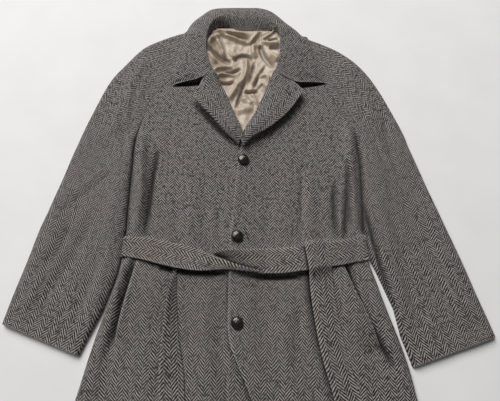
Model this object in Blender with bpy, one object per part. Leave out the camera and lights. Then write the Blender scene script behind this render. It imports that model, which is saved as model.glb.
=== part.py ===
"""Belted wool overcoat with raglan sleeves, laid on its back with its belt tied loosely.

Metres. +Y runs from the hem to the collar, +Z up from the surface the coat lies on.
The wearer's left is at +X. Every panel is a thin closed wall; the panels lie on each other.
"""
import math

import bmesh
import bpy
import numpy as np
from mathutils import Vector
from mathutils.bvhtree import BVHTree

CLOTH = 0.0030          # wall of the wool cloth
SATIN = 0.0012          # wall of the lining
COLLAR_CLOTH = 0.0036   # collar: two layers of cloth and a stiffener
WELT_CLOTH = 0.0022     # pocket welts
BELT_CLOTH = 0.0030     # belt
LOOP_CLOTH = 0.0022     # belt loops
GAP = 0.0003            # between neighbouring pieces
AIR = 0.0032            # air held between the lower and the upper panels
RIM = 0.010             # width over which a wall thins to its free edge
RIM_WALL = 0.0014       # wall at a free edge
SIDE_ROLL = 0.050       # width over which a panel rolls down to a side seam
BACK_INSET = 0.0010     # the back stays this far inside the side seams
BELT_BUMP = 0.018       # width of the back's rise over the belt behind it
BELT_BUMP_FLAT = 0.005  # level part of that rise beyond the belt's edges
BELT_WRAP = 0.0006      # clearance of the belt where it turns round the side
BUTTON_SIDES = 20
BACK_WIDTH = 0.55       # usual widths, for the spread of columns across a panel
FRONT_WIDTH = 0.29
SLEEVE_WIDTH = 0.18
PIT_BLEND = 0.05        # height over which the rolled side seam fades at the armpit
HEM_ROLL = 0.04         # length over which a front settles down to its hem
LINING_CALM = 0.020     # margin of the lining that lies flat under the fronts
LINING_BLEND = 0.030    # width over which its folds grow from that margin
LAPEL_BOW = 0.35        # share of a lapel's lift that bows its middle
WRAP_STEPS = (0.0004, 0.0060)   # heights of the belt where it turns round the side
WRAP_TOP = 0.0105
LOOP_WIDTH = 0.013
LOOP_X = 0.250          # the loop at the left side seam
LOOP_TOP = -0.086       # belt edges where the loop crosses it
LOOP_LOW = -0.143
LOOP_SHARES = (-0.22, -0.13, -0.04, 0.02, 0.25, 0.50, 0.75, 0.98, 1.04, 1.13, 1.22)


def table(columns, *rows):
    """A short table as arrays, by column name."""
    return dict(zip(columns.split(), np.array(rows, dtype=float).T))


SEAM_RIGHT = table(
    "y x",
    (-0.567, -0.379), (-0.422, -0.344), (-0.307, -0.319), (-0.236, -0.300), (-0.165, -0.282),
    (-0.129, -0.277), (-0.034, -0.277), (0.079, -0.277), (0.168, -0.274), (0.215, -0.262),
    (0.270, -0.246), (0.300, -0.226), (0.321, -0.207), (0.350, -0.172), (0.392, -0.135))
SEAM_LEFT = table(
    "y x",
    (-0.567, 0.363), (-0.419, 0.339), (-0.359, 0.329), (-0.301, 0.314), (-0.250, 0.298),
    (-0.183, 0.279), (-0.129, 0.264), (-0.009, 0.266), (0.132, 0.267), (0.186, 0.260),
    (0.213, 0.243), (0.250, 0.225), (0.294, 0.208), (0.324, 0.195), (0.350, 0.165), (0.392, 0.125))
BACK_RAGLAN_RIGHT = table(
    "y x", (0.168, -0.274), (0.250, -0.241), (0.330, -0.190), (0.400, -0.142), (0.470, -0.100),
    (0.494, -0.090))
BACK_RAGLAN_LEFT = table(
    "y x", (0.186, 0.260), (0.250, 0.223), (0.330, 0.172), (0.400, 0.122), (0.470, 0.082),
    (0.494, 0.072))
EDGE_RIGHT = table(
    "y x", (-0.567, 0.085), (-0.425, 0.046), (-0.300, 0.020), (0.000, 0.012), (0.095, 0.008),
    (0.135, -0.001), (0.168, -0.0125), (0.220, -0.036), (0.278, -0.059), (0.323, -0.079),
    (0.336, -0.0855), (0.378, -0.106), (0.392, -0.1125))
EDGE_LEFT = table(
    "y x", (-0.567, 0.050), (-0.419, 0.009), (-0.364, -0.015), (-0.316, -0.036), (-0.226, -0.042),
    (-0.162, -0.041), (-0.094, -0.040), (-0.024, -0.034), (0.051, -0.028), (0.124, -0.0190),
    (0.142, -0.0155), (0.165, -0.0085), (0.215, 0.0165), (0.269, 0.040), (0.336, 0.0665),
    (0.378, 0.083), (0.392, 0.089))
ROWS_RIGHT = (
    -0.563, -0.520, -0.470, -0.420, -0.370, -0.325, -0.280, -0.240, -0.200, -0.168, -0.144, -0.128,
    -0.112, -0.098, -0.084, -0.072, -0.040, 0.000, 0.050, 0.100, 0.135, 0.168, 0.200, 0.235, 0.270,
    0.300, 0.325, 0.350, 0.392)
ROWS_LEFT = (
    -0.563, -0.520, -0.470, -0.420, -0.370, -0.325, -0.280, -0.240, -0.200, -0.168, -0.144, -0.128,
    -0.112, -0.098, -0.084, -0.072, -0.040, 0.000, 0.050, 0.095, 0.130, 0.160, 0.186, 0.213, 0.240,
    0.270, 0.300, 0.325, 0.350, 0.392)
BACK_ROWS = (
    -0.567, -0.520, -0.430, -0.350, -0.270, -0.200, -0.160, -0.142, -0.128, -0.112, -0.096, -0.080,
    -0.062, 0.020, 0.100, 0.168, 0.186, 0.218, 0.250, 0.290, 0.330, 0.400, 0.470, 0.494)

SLEEVE_RIGHT = table(
    "inner_y back_y outer_x outer_y clear",
    (0.392, 0.494, -0.125, 0.4860, 0.0003), (0.350, 0.470, -0.180, 0.4795, 0.0003),
    (0.321, 0.440, -0.231, 0.4585, 0.0003), (0.296, 0.400, -0.276, 0.4330, 0.0003),
    (0.262, 0.330, -0.325, 0.3740, 0.0003), (0.215, 0.250, -0.360, 0.3190, 0.0003),
    (0.168, 0.168, -0.389, 0.2380, 0.0003), (0.079, 0.079, -0.4195, 0.1350, 0.0003),
    (-0.034, -0.034, -0.4440, 0.0380, 0.0003), (-0.072, -0.072, -0.457, -0.0105, 0.0008),
    (-0.084, -0.084, -0.461, -0.0260, 0.0046), (-0.116, -0.116, -0.472, -0.0630, 0.0046),
    (-0.172, -0.172, -0.488, -0.1380, 0.0040), (-0.250, -0.250, -0.506, -0.2150, 0.0060),
    (-0.338, -0.338, -0.518, -0.2750, 0.0220))
SLEEVE_LEFT = table(
    "inner_y back_y outer_x outer_y clear",
    (0.392, 0.494, 0.112, 0.4740, 0.0003), (0.350, 0.465, 0.160, 0.4610, 0.0003),
    (0.324, 0.435, 0.208, 0.4390, 0.0003), (0.285, 0.390, 0.262, 0.4030, 0.0003),
    (0.245, 0.320, 0.309, 0.3490, 0.0003), (0.213, 0.250, 0.340, 0.2890, 0.0003),
    (0.186, 0.186, 0.367, 0.2200, 0.0003), (0.100, 0.100, 0.395, 0.1280, 0.0003),
    (0.000, 0.000, 0.426, 0.0180, 0.0003), (-0.072, -0.072, 0.4465, -0.0510, 0.0008),
    (-0.084, -0.084, 0.450, -0.0630, 0.0046), (-0.116, -0.116, 0.461, -0.0980, 0.0046),
    (-0.165, -0.165, 0.475, -0.1450, 0.0090),
    (-0.245, -0.245, 0.496, -0.2230, 0.0160), (-0.300, -0.300, 0.509, -0.2680, 0.0070),
    (-0.359, -0.359, 0.518, -0.3010, 0.0090))
SLEEVE_ROWS_RIGHT = tuple(y for y in reversed(ROWS_RIGHT) if y > -0.09) + (
    -0.116, -0.144, -0.172, -0.210, -0.250, -0.295, -0.338)
SLEEVE_ROWS_LEFT = tuple(y for y in reversed(ROWS_LEFT) if y > -0.09) + (
    -0.116, -0.144, -0.168, -0.205, -0.245, -0.300, -0.359)
SLEEVE_BACK_ROWS = tuple(y for y in reversed(BACK_ROWS) if y > -0.07) + (-0.072, -0.084)

FOLD_COLUMNS = "x0 y0 x1 y1 half rise"
FOLDS = {
    "front_right": table(
        FOLD_COLUMNS,
        (-0.250, 0.190, -0.252, -0.095, 0.026, 0.0080), (-0.276, -0.140, -0.305, -0.350, 0.022, 0.0040),
        (-0.195, -0.130, -0.205, -0.540, 0.045, 0.0050), (-0.100, -0.150, -0.085, -0.560, 0.035, 0.0045),
        (-0.130, 0.260, -0.110, -0.120, 0.060, 0.0030), (-0.095, 0.350, -0.010, 0.120, 0.060, 0.0070)),
    "front_left": table(
        FOLD_COLUMNS,
        (0.242, 0.200, 0.244, -0.100, 0.024, 0.0075), (0.262, -0.130, 0.318, -0.420, 0.022, 0.0045),
        (0.090, -0.140, 0.105, -0.550, 0.040, 0.0050), (0.200, 0.060, 0.205, -0.100, 0.022, 0.0045),
        (0.130, 0.090, 0.132, -0.110, 0.040, 0.0035), (0.076, 0.360, -0.016, 0.110, 0.060, 0.0080)),
    "sleeve_right": table(
        FOLD_COLUMNS,
        (-0.262, 0.405, -0.318, 0.170, 0.040, 0.0065), (-0.300, 0.180, -0.330, -0.320, 0.034, 0.0055),
        (-0.420, 0.040, -0.470, -0.260, 0.040, 0.0045)),
    "sleeve_left": table(
        FOLD_COLUMNS,
        (0.245, 0.395, 0.312, 0.150, 0.040, 0.0065), (0.300, 0.180, 0.335, -0.330, 0.034, 0.0055),
        (0.405, 0.030, 0.468, -0.280, 0.040, 0.0045)),
    "lining": table(
        FOLD_COLUMNS,
        (-0.085, 0.445, 0.000, 0.415, 0.024, 0.0060), (0.070, 0.460, 0.020, 0.330, 0.026, 0.0065),
        (-0.012, 0.410, -0.045, 0.280, 0.024, 0.0060), (-0.080, 0.400, -0.060, 0.330, 0.020, 0.0040),
        (0.030, 0.330, -0.010, 0.230, 0.024, 0.0040)),
}

LINING = table(
    "y left right",
    (0.128, -0.034, 0.011), (0.165, -0.045, 0.022), (0.215, -0.062, 0.038), (0.270, -0.084, 0.062),
    (0.325, -0.104, 0.082), (0.370, -0.114, 0.092), (0.410, -0.116, 0.092), (0.450, -0.112, 0.088),
    (0.476, -0.096, 0.074), (0.492, -0.082, 0.058))

LAPEL_COLUMNS = "roll_x roll_y edge_x edge_y lift"
LAPEL_RIGHT = table(
    LAPEL_COLUMNS,
    (-0.0820, 0.3328, -0.1170, 0.3276, 0.0050), (-0.0770, 0.3180, -0.1285, 0.3080, 0.0060),
    (-0.0700, 0.3020, -0.1400, 0.2810, 0.0070), (-0.0620, 0.2860, -0.1270, 0.2640, 0.0065),
    (-0.0450, 0.2440, -0.0860, 0.2180, 0.0050), (-0.0280, 0.2030, -0.0530, 0.1800, 0.0040),
    (-0.0112, 0.1600, -0.0218, 0.1430, 0.0030))
LAPEL_LEFT = table(
    LAPEL_COLUMNS,
    (0.0660, 0.3350, 0.1205, 0.3155, 0.0080), (0.0610, 0.3210, 0.1260, 0.3030, 0.0090),
    (0.0550, 0.3060, 0.1370, 0.2820, 0.0100), (0.0500, 0.2930, 0.1270, 0.2630, 0.0100),
    (0.0350, 0.2570, 0.0960, 0.2200, 0.0090), (0.0170, 0.2160, 0.0520, 0.1800, 0.0070),
    (-0.0040, 0.1740, 0.0120, 0.1530, 0.0045), (-0.0152, 0.1410, -0.0110, 0.1290, 0.0020))

COLLAR = table(
    "crest_x crest_y crest_z lean edge_x edge_y lift sag",
    (-0.0815, 0.3335, 0.0225, 0.0015, -0.195, 0.318, 0.0060, 0.000),
    (-0.0920, 0.3520, 0.0245, 0.0015, -0.193, 0.340, 0.0050, 0.000),
    (-0.1020, 0.3780, 0.0270, 0.0015, -0.189, 0.370, 0.0035, 0.000),
    (-0.1090, 0.4080, 0.0300, 0.0020, -0.184, 0.408, 0.0015, 0.000),
    (-0.1100, 0.4400, 0.0330, 0.0020, -0.178, 0.447, 0.0000, 0.000),
    (-0.1070, 0.4650, 0.0350, 0.0025, -0.171, 0.482, 0.0000, 0.000),
    (-0.0990, 0.4860, 0.0360, 0.0040, -0.157, 0.512, 0.0000, 0.000),
    (-0.0830, 0.4980, 0.0370, 0.0080, -0.129, 0.541, 0.0000, 0.000),
    (-0.0610, 0.5020, 0.0370, 0.0110, -0.100, 0.562, 0.0000, 0.000),
    (-0.0350, 0.5010, 0.0370, 0.0110, -0.055, 0.567, 0.0000, 0.000),
    (-0.0080, 0.5000, 0.0370, 0.0110, -0.010, 0.567, 0.0000, 0.000),
    (0.0170, 0.4995, 0.0370, 0.0110, 0.033, 0.566, 0.0000, 0.000),
    (0.0400, 0.4970, 0.0370, 0.0110, 0.062, 0.556, 0.0000, 0.000),
    (0.0590, 0.4905, 0.0370, 0.0080, 0.087, 0.534, 0.0000, 0.000),
    (0.0740, 0.4790, 0.0360, 0.0040, 0.110, 0.510, 0.0000, 0.000),
    (0.0830, 0.4620, 0.0350, 0.0025, 0.139, 0.484, 0.0000, 0.000),
    (0.0860, 0.4380, 0.0330, 0.0020, 0.161, 0.454, 0.0000, 0.000),
    (0.0850, 0.4080, 0.0300, 0.0020, 0.176, 0.414, 0.0015, 0.000),
    (0.0790, 0.3760, 0.0270, 0.0015, 0.188, 0.376, 0.0040, -0.002),
    (0.0720, 0.3510, 0.0245, 0.0015, 0.198, 0.345, 0.0060, -0.006),
    (0.0660, 0.3360, 0.0225, 0.0015, 0.203, 0.322, 0.0070, -0.013))
STAND = table("out rise", (0.00, 0.00), (0.35, 0.52), (0.75, 0.90))
FALL = table("out fall sag", (0.00, 1.00, 0.00), (0.14, 0.99, 0.33), (0.42, 0.88, 1.00),
             (0.70, 0.64, 0.52), (0.90, 0.30, 0.17), (1.00, 0.00, 0.00))

STRAND_COLUMNS = "top_x top_y low_x low_y lift"
BELT_RIGHT = table(
    STRAND_COLUMNS,
    (-0.266, -0.088, -0.267, -0.133, 0.010), (-0.231, -0.090, -0.228, -0.141, 0.013),
    (-0.185, -0.099, -0.184, -0.153, 0.013), (-0.129, -0.111, -0.140, -0.162, 0.014),
    (-0.081, -0.129, -0.095, -0.166, 0.018), (-0.030, -0.149, -0.038, -0.167, 0.018),
    (0.012, -0.161, 0.010, -0.1705, 0.016), (0.033, -0.1665, 0.033, -0.1725, 0.014))
BELT_LEFT = table(
    STRAND_COLUMNS,
    (0.254, -0.085, 0.251, -0.141, 0.010), (0.218, -0.095, 0.213, -0.151, 0.013),
    (0.173, -0.102, 0.172, -0.157, 0.013), (0.116, -0.111, 0.118, -0.166, 0.013),
    (0.061, -0.115, 0.067, -0.171, 0.013), (0.005, -0.118, 0.012, -0.168, 0.013),
    (-0.051, -0.119, -0.045, -0.155, 0.012), (-0.085, -0.130, -0.080, -0.152, 0.011))
BELT_BACK = table("x top_y low_y", (-0.2755, -0.0885, -0.1330), (0.0, -0.086, -0.136),
                  (0.2605, -0.0845, -0.1390))
TAIL_COLUMNS = "left_x left_y right_x right_y left_lift right_lift"
TAIL_LEFT = table(
    TAIL_COLUMNS,
    (0.1250, -0.1060, 0.1770, -0.0990, 0.000, 0.000), (0.1285, -0.1350, 0.1795, -0.1310, 0.000, 0.000),
    (0.1320, -0.1650, 0.1820, -0.1620, 0.004, 0.003), (0.1370, -0.2400, 0.1865, -0.2360, 0.003, 0.004),
    (0.1490, -0.3260, 0.2000, -0.3200, 0.002, 0.004), (0.1650, -0.3920, 0.2150, -0.3840, 0.002, 0.003),
    (0.1780, -0.4420, 0.2275, -0.4320, 0.000, 0.002))
TAIL_RIGHT = table(
    TAIL_COLUMNS,
    (-0.1625, -0.1560, -0.1545, -0.1560, 0.003, 0.000), (-0.1630, -0.1800, -0.1540, -0.1800, 0.007, 0.000),
    (-0.1670, -0.2080, -0.1525, -0.2080, 0.012, 0.000), (-0.1720, -0.2550, -0.1485, -0.2550, 0.011, 0.000),
    (-0.1755, -0.3100, -0.1415, -0.3100, 0.008, 0.000), (-0.1775, -0.3650, -0.1300, -0.3650, 0.004, 0.001),
    (-0.1740, -0.4210, -0.1240, -0.4210, 0.001, 0.001), (-0.1690, -0.4620, -0.1190, -0.4620, 0.000, 0.001))
WELT_COLUMNS = "mouth_x mouth_y inner_x inner_y"
WELT_RIGHT = table(
    WELT_COLUMNS, (-0.2440, -0.1400, -0.1920, -0.1520), (-0.2550, -0.1940, -0.2010, -0.2120),
    (-0.2670, -0.2510, -0.2150, -0.2750), (-0.2760, -0.3090, -0.2280, -0.3420))
WELT_LEFT = table(
    WELT_COLUMNS, (0.2110, -0.1480, 0.1610, -0.1600), (0.2330, -0.2090, 0.1780, -0.2240),
    (0.2570, -0.2670, 0.1960, -0.2860), (0.2740, -0.3170, 0.2080, -0.3420))
WELT_MOUTH = 0.0025     # how far a pocket mouth stands open
BUTTONS = table("x y", (-0.011, 0.100), (-0.024, -0.087), (-0.022, -0.273))
BUTTON = table("radius height", (0.0100, 0.0000), (0.0128, 0.0012), (0.0135, 0.0030), (0.0130, 0.0050),
               (0.0108, 0.0072), (0.0066, 0.0088))
BUTTON_TOP = 0.0094

COLOURS = {
    "wool": ((0.118, 0.108, 0.104), 0.92),
    "wool_collar": ((0.138, 0.127, 0.123), 0.92),
    "wool_belt": ((0.130, 0.119, 0.113), 0.92),
    "satin": ((0.296, 0.235, 0.182), 0.42),
    "horn": ((0.022, 0.016, 0.013), 0.25),
}

PLACED = []
DOWN = Vector((0.0, 0.0, -1.0))


def spline(knots, values, at):
    """Smooth curve through the values at the rising knots."""
    knots = np.asarray(knots, dtype=float)
    values = np.asarray(values, dtype=float)
    at = np.asarray(at, dtype=float)
    slope = np.gradient(values, knots)
    low = np.clip(np.searchsorted(knots, at) - 1, 0, len(knots) - 2)
    step = knots[low + 1] - knots[low]
    t = (at - knots[low]) / step
    return ((2 * t**3 - 3 * t**2 + 1) * values[low] + (t**3 - 2 * t**2 + t) * step * slope[low]
            + (3 * t**2 - 2 * t**3) * values[low + 1] + (t**3 - t**2) * step * slope[low + 1])


def resample(rows, count):
    """Every column of a row table at evenly spread places along the table."""
    keys = list(rows)
    old = np.arange(len(rows[keys[0]]))
    new = np.linspace(0.0, old[-1], count)
    return {key: spline(old, rows[key], new) for key in keys}


def seam_x(seam, y):
    return spline(seam["y"], seam["x"], y)


def shares(width, edge, inner):
    """Column places across a panel: close together at both edges, even between them."""
    near = np.array((0.0, 0.3, 1.0)) * edge / width
    middle = np.linspace(near[-1], 1.0 - near[-1], inner)
    return np.concatenate((near[:-1], middle, 1.0 - near[-2::-1]))


def span(first, second, share):
    """Plan points of rows that run from the first edge to the second."""
    return first[:, None, :] + (second - first)[:, None, :] * share[None, :, None]


def curl(distance, radius):
    """Rises from 0 at an edge to 1 at the radius, round like a rolled rim."""
    inside = np.clip(distance / radius, 0.0, 1.0)
    return np.sqrt(1.0 - (1.0 - inside) ** 2)


def folds(name, plan):
    """Height of the soft ridges of a panel."""
    x, y = plan[..., 0], plan[..., 1]
    total = np.zeros(x.shape)
    rows = FOLDS[name]
    for x0, y0, x1, y1, half, rise in zip(*(rows[key] for key in FOLD_COLUMNS.split())):
        dx, dy = x1 - x0, y1 - y0
        along = np.clip(((x - x0) * dx + (y - y0) * dy) / (dx * dx + dy * dy), 0.0, 1.0)
        away = np.hypot(x - x0 - along * dx, y - y0 - along * dy) / half
        ridge = np.cos(np.clip(away, 0.0, 1.0) * math.pi / 2) ** 2
        total += rise * ridge * (1.0 - np.abs(2.0 * along - 1.0) ** 4)
    return total


def cells(grid, steps, lowest):
    """Values inside every cell of a point grid; lowest takes the lower way to split a cell."""
    a, b = grid[:-1, :-1, None, None], grid[:-1, 1:, None, None]
    c, d = grid[1:, :-1, None, None], grid[1:, 1:, None, None]
    u = np.linspace(0.0, 1.0, steps + 1)[None, None, None, :]
    v = np.linspace(0.0, 1.0, steps + 1)[None, None, :, None]
    if not lowest:
        return (a * (1 - u) + b * u) * (1 - v) + (c * (1 - u) + d * u) * v
    one = np.where(u >= v, a + u * (b - a) + v * (d - b), a + v * (c - a) + u * (d - c))
    two = np.where(u + v <= 1, a + u * (b - a) + v * (c - a), d + (1 - u) * (c - d) + (1 - v) * (b - d))
    return np.minimum(one, two)


def heights(x, y):
    """Top of everything placed so far, 0 where the floor is bare."""
    top = np.zeros(x.shape)
    for place in np.ndindex(x.shape):
        start = Vector((x[place], y[place], 1.0))
        for tree in PLACED:
            hit = tree.ray_cast(start, DOWN)[0]
            if hit is not None and hit.z > top[place]:
                top[place] = hit.z
    return top


def settle(plan, lift, steps=4):
    """Underside of a sheet that keeps its lift and stays clear of what it lies on."""
    below = heights(cells(plan[..., 0], steps, False), cells(plan[..., 1], steps, False))
    need = np.where(below > 0.0, below + GAP, 0.0)
    under = np.array(lift, dtype=float)
    for _ in range(12):
        lack = np.clip((need - cells(under, steps, True)).max(axis=(2, 3)), 0.0, None)
        if lack.max() < 1e-7:
            break
        more = np.zeros(under.shape)
        for rows in (slice(None, -1), slice(1, None)):
            for columns in (slice(None, -1), slice(1, None)):
                more[rows, columns] = np.maximum(more[rows, columns], lack)
        under = under + more
    return under


def points(plan, z):
    return np.concatenate((plan, z[..., None]), axis=2)


def material(name, look):
    colour, roughness = COLOURS[look]
    made = bpy.data.materials.new(name)
    made.use_nodes = True
    shader = made.node_tree.nodes["Principled BSDF"]
    shader.inputs["Base Color"].default_value = (*colour, 1.0)
    shader.inputs["Roughness"].default_value = roughness
    shader.inputs["Metallic"].default_value = 0.0
    return made


def place(name, corners, faces, look):
    """A closed body with its faces outward, added to what later pieces lie on."""
    mesh = bpy.data.meshes.new(name)
    mesh.from_pydata([tuple(corner) for corner in corners], [], faces)
    work = bmesh.new()
    work.from_mesh(mesh)
    bmesh.ops.recalc_face_normals(work, faces=work.faces)
    work.to_mesh(mesh)
    work.free()
    mesh.materials.append(material(name, look))
    piece = bpy.data.objects.new(name, mesh)
    bpy.context.collection.objects.link(piece)
    mesh.calc_loop_triangles()
    triangles = [tuple(triangle.vertices) for triangle in mesh.loop_triangles]
    PLACED.append(BVHTree.FromPolygons([corner.co for corner in mesh.vertices], triangles))
    return piece


def cloth(name, upper, lower, look):
    """One closed wall between an upper and a lower grid of points, both split along the same diagonals."""
    rows, columns = upper.shape[:2]
    shift = rows * columns
    corners = np.concatenate((upper.reshape(-1, 3), lower.reshape(-1, 3)))
    faces = []
    for r in range(rows - 1):
        for c in range(columns - 1):
            a = r * columns + c
            far = a + columns + 1
            for half in ((a, a + 1, far), (a, far, far - 1)):
                faces.append(half)
                faces.append(tuple(corner + shift for corner in reversed(half)))
    rim = [c for c in range(columns)]
    rim += [r * columns + columns - 1 for r in range(1, rows)]
    rim += [(rows - 1) * columns + c for c in range(columns - 2, -1, -1)]
    rim += [r * columns for r in range(rows - 2, 0, -1)]
    for here, there in zip(rim, rim[1:] + rim[:1]):
        faces.append((here, here + shift, there + shift, there))
    return place(name, corners, faces, look)


def wall(share, width, full, rows=None):
    """Thickness across a panel: thin at both free edges, and at the end rows when asked."""
    edge = np.minimum(share[None, :], 1.0 - share[None, :]) * width[:, None]
    thick = RIM_WALL + (full - RIM_WALL) * curl(edge, RIM)
    if rows is not None:
        thick = np.minimum(thick, rows[:, None])
    return thick


def build_belt_back():
    rows = resample(BELT_BACK, 9)
    first = np.stack((rows["x"], rows["low_y"]), axis=1)
    second = np.stack((rows["x"], rows["top_y"]), axis=1)
    plan = span(first, second, np.array((0.0, 0.1, 0.5, 0.9, 1.0)))
    under = np.zeros(plan.shape[:2])
    thick = np.full(plan.shape[:2], BELT_CLOTH)
    thick[:, (0, -1)] = RIM_WALL
    cloth("belt_back", points(plan, under + thick), points(plan, under), "wool_belt")


def back_side(seam, raglan, y):
    low = y <= raglan["y"][0]
    return np.where(low, seam_x(seam, np.minimum(y, raglan["y"][0])),
                    seam_x(raglan, np.maximum(y, raglan["y"][0])))


def build_back():
    y = np.array(BACK_ROWS)
    first = np.stack((back_side(SEAM_RIGHT, BACK_RAGLAN_RIGHT, y) + BACK_INSET, y), axis=1)
    second = np.stack((back_side(SEAM_LEFT, BACK_RAGLAN_LEFT, y) - BACK_INSET, y), axis=1)
    share = shares(BACK_WIDTH, RIM, 11)
    plan = span(first, second, share)
    low, high = BELT_BACK["low_y"].min(), BELT_BACK["top_y"].max()
    outside = np.maximum(np.maximum(low - y, y - high) - BELT_BUMP_FLAT, 0.0)
    bump = (BELT_CLOTH + GAP) * np.clip(1.0 - outside / BELT_BUMP, 0.0, 1.0)
    under = np.repeat(bump[:, None], len(share), axis=1)
    width = np.hypot(*(second - first).T)
    cloth("back", points(plan, under + wall(share, width, CLOTH)), points(plan, under), "wool")


def sleeve_edges(rows, seam, side, y, key):
    """Outer and inner edge of a sleeve half for the rows that end at y on the inner side."""
    knots = rows[key][::-1]
    outer = np.stack([spline(knots, rows[name][::-1], y) for name in ("outer_x", "outer_y")], axis=1)
    clear = np.interp(y, knots, rows["clear"][::-1])
    inner = np.stack((seam(y) + side * clear, y), axis=1)
    return outer, inner


def build_sleeve_back(name, rows, seam, raglan, side, stations):
    y = np.array(stations)
    outer, inner = sleeve_edges(rows, lambda v: back_side(seam, raglan, v), side, y, "back_y")
    outer[:, 0] -= side * BACK_INSET
    share = shares(SLEEVE_WIDTH, RIM, 4)
    plan = span(outer, inner, share)
    width = np.hypot(*(inner - outer).T)
    under = np.zeros(plan.shape[:2])
    cloth(name, points(plan, under + wall(share, width, CLOTH)), points(plan, under), "wool")


def build_sleeve_front(name, rows, seam, side, stations, fold):
    y = np.array(stations)
    outer, inner = sleeve_edges(rows, lambda v: seam_x(seam, v), side, y, "inner_y")
    share = shares(SLEEVE_WIDTH, RIM, 9)
    plan = span(outer, inner, share)
    width = np.hypot(*(inner - outer).T)
    from_outer = share[None, :] * width[:, None]
    from_inner = (1.0 - share[None, :]) * width[:, None]
    below_pit = np.clip((rows["inner_y"][5] - y) / PIT_BLEND, 0.0, 1.0)[:, None]
    roll = curl(from_outer, SIDE_ROLL) * (1.0 - below_pit * (1.0 - curl(from_inner, SIDE_ROLL)))
    lift = CLOTH + GAP + AIR * roll + folds(fold, plan) * roll
    under = settle(plan, lift)
    cloth(name, points(plan, under + wall(share, width, CLOTH)), points(plan, under), "wool")


def build_front(name, seam, edge, stations):
    y = np.array(stations)
    first = np.stack((seam_x(seam, y), y), axis=1)
    second = np.stack((seam_x(edge, y), y), axis=1)
    share = shares(FRONT_WIDTH, RIM, 14)
    plan = span(first, second, share)
    width = np.hypot(*(second - first).T)
    from_side = share[None, :] * width[:, None]
    above_pit = np.clip((y - seam["y"][8]) / PIT_BLEND, 0.0, 1.0)[:, None]
    roll = curl(from_side, SIDE_ROLL) * (1.0 - above_pit) + above_pit
    ends = curl(y - y[0], HEM_ROLL)[:, None]
    lift = CLOTH + GAP + (AIR + folds(name, plan)) * roll * ends
    under = settle(plan, lift)
    cloth(name, points(plan, under + wall(share, width, CLOTH)), points(plan, under), "wool")


def build_lining():
    rows = resample(LINING, 15)
    first = np.stack((rows["left"], rows["y"]), axis=1)
    second = np.stack((rows["right"], rows["y"]), axis=1)
    share = np.linspace(0.0, 1.0, 13)
    plan = span(first, second, share)
    width = np.hypot(*(second - first).T)
    edge = np.minimum(share, 1.0 - share)[None, :] * width[:, None]
    ends = np.minimum(plan[..., 1] - plan[0, 0, 1], plan[-1, 0, 1] - plan[..., 1])
    calm = np.clip((edge - LINING_CALM) / LINING_BLEND, 0.0, 1.0) * np.clip(ends / LINING_BLEND, 0.0, 1.0)
    under = settle(plan, CLOTH + GAP + folds("lining", plan) * calm)
    cloth("lining", points(plan, under + SATIN), points(plan, under), "satin")


def build_lapel(name, table_rows, count):
    rows = resample(table_rows, count)
    first = np.stack((rows["roll_x"], rows["roll_y"]), axis=1)
    second = np.stack((rows["edge_x"], rows["edge_y"]), axis=1)
    share = np.array((0.0, 0.05, 0.18, 0.36, 0.55, 0.74, 0.90, 1.0))
    plan = span(first, second, share)
    width = np.hypot(*(second - first).T)
    ground = settle(plan, np.zeros(plan.shape[:2]))
    lift = rows["lift"][:, None] * (share**1.5 + LAPEL_BOW * np.sin(share * math.pi))[None, :]
    under = settle(plan, ground + lift)
    cloth(name, points(plan, under + wall(share, width, CLOTH)), points(plan, under), "wool_collar")


def build_collar():
    crest = np.stack((COLLAR["crest_x"], COLLAR["crest_y"]), axis=1)
    edge = np.stack((COLLAR["edge_x"], COLLAR["edge_y"]), axis=1)
    out = edge - crest
    reach = np.hypot(*out.T)
    way = out / reach[:, None]
    foot = crest - way * COLLAR["lean"][:, None]
    base = span(foot, foot + way * COLLAR_CLOTH, np.array((0.0, 1.0)))
    foot_z = settle(base, np.zeros(base.shape[:2]), 10).max(axis=1)
    edge_below = heights(edge[:, 0], edge[:, 1])
    edge_z = np.where(edge_below > 0.0, edge_below + GAP, 0.0) + COLLAR["lift"] + RIM_WALL
    crest_z = COLLAR["crest_z"]
    upper, lower = [], []
    for share, rise in zip(STAND["out"], STAND["rise"]):
        plan = foot + (crest - foot) * share
        z = foot_z + (crest_z - foot_z) * rise
        upper.append(points(plan[None], z[None])[0])
        inside = plan + way * COLLAR_CLOTH * (1.0 - 0.4 * share)
        lower.append(points(inside[None], (z - COLLAR_CLOTH * 0.7 * share)[None])[0])
    for share, fall, bend in zip(FALL["out"], FALL["fall"], FALL["sag"]):
        plan = crest + out * share
        plan[:, 1] += COLLAR["sag"] * bend
        z = edge_z + (crest_z - edge_z) * fall
        thick = RIM_WALL + (COLLAR_CLOTH - RIM_WALL) * curl((1.0 - share) * reach, RIM)
        upper.append(points(plan[None], z[None])[0])
        lower.append(points((plan + way * COLLAR_CLOTH * 0.25 * fall)[None], (z - thick)[None])[0])
    upper, lower = np.stack(upper, axis=1), np.stack(lower, axis=1)
    under = settle(lower[..., :2], np.maximum(lower[..., 2], 0.0), 10)
    upper[..., 2] += under - lower[..., 2]
    lower[..., 2] = under
    cloth("collar", upper, lower, "wool_collar")


def build_welt(name, table_rows):
    rows = resample(table_rows, 8)
    first = np.stack((rows["mouth_x"], rows["mouth_y"]), axis=1)
    second = np.stack((rows["inner_x"], rows["inner_y"]), axis=1)
    share = np.array((0.0, 0.10, 0.35, 0.65, 0.90, 1.0))
    plan = span(first, second, share)
    ground = settle(plan, np.zeros(plan.shape[:2]))
    along = np.linspace(0.0, 1.0, len(first))
    mouth = WELT_MOUTH * np.sin(along * math.pi)[:, None] * (1.0 - share[None, :]) ** 2
    width = np.hypot(*(second - first).T)
    under = settle(plan, ground + mouth)
    cloth(name, points(plan, under + wall(share, width, WELT_CLOTH)), points(plan, under), "wool")


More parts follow.
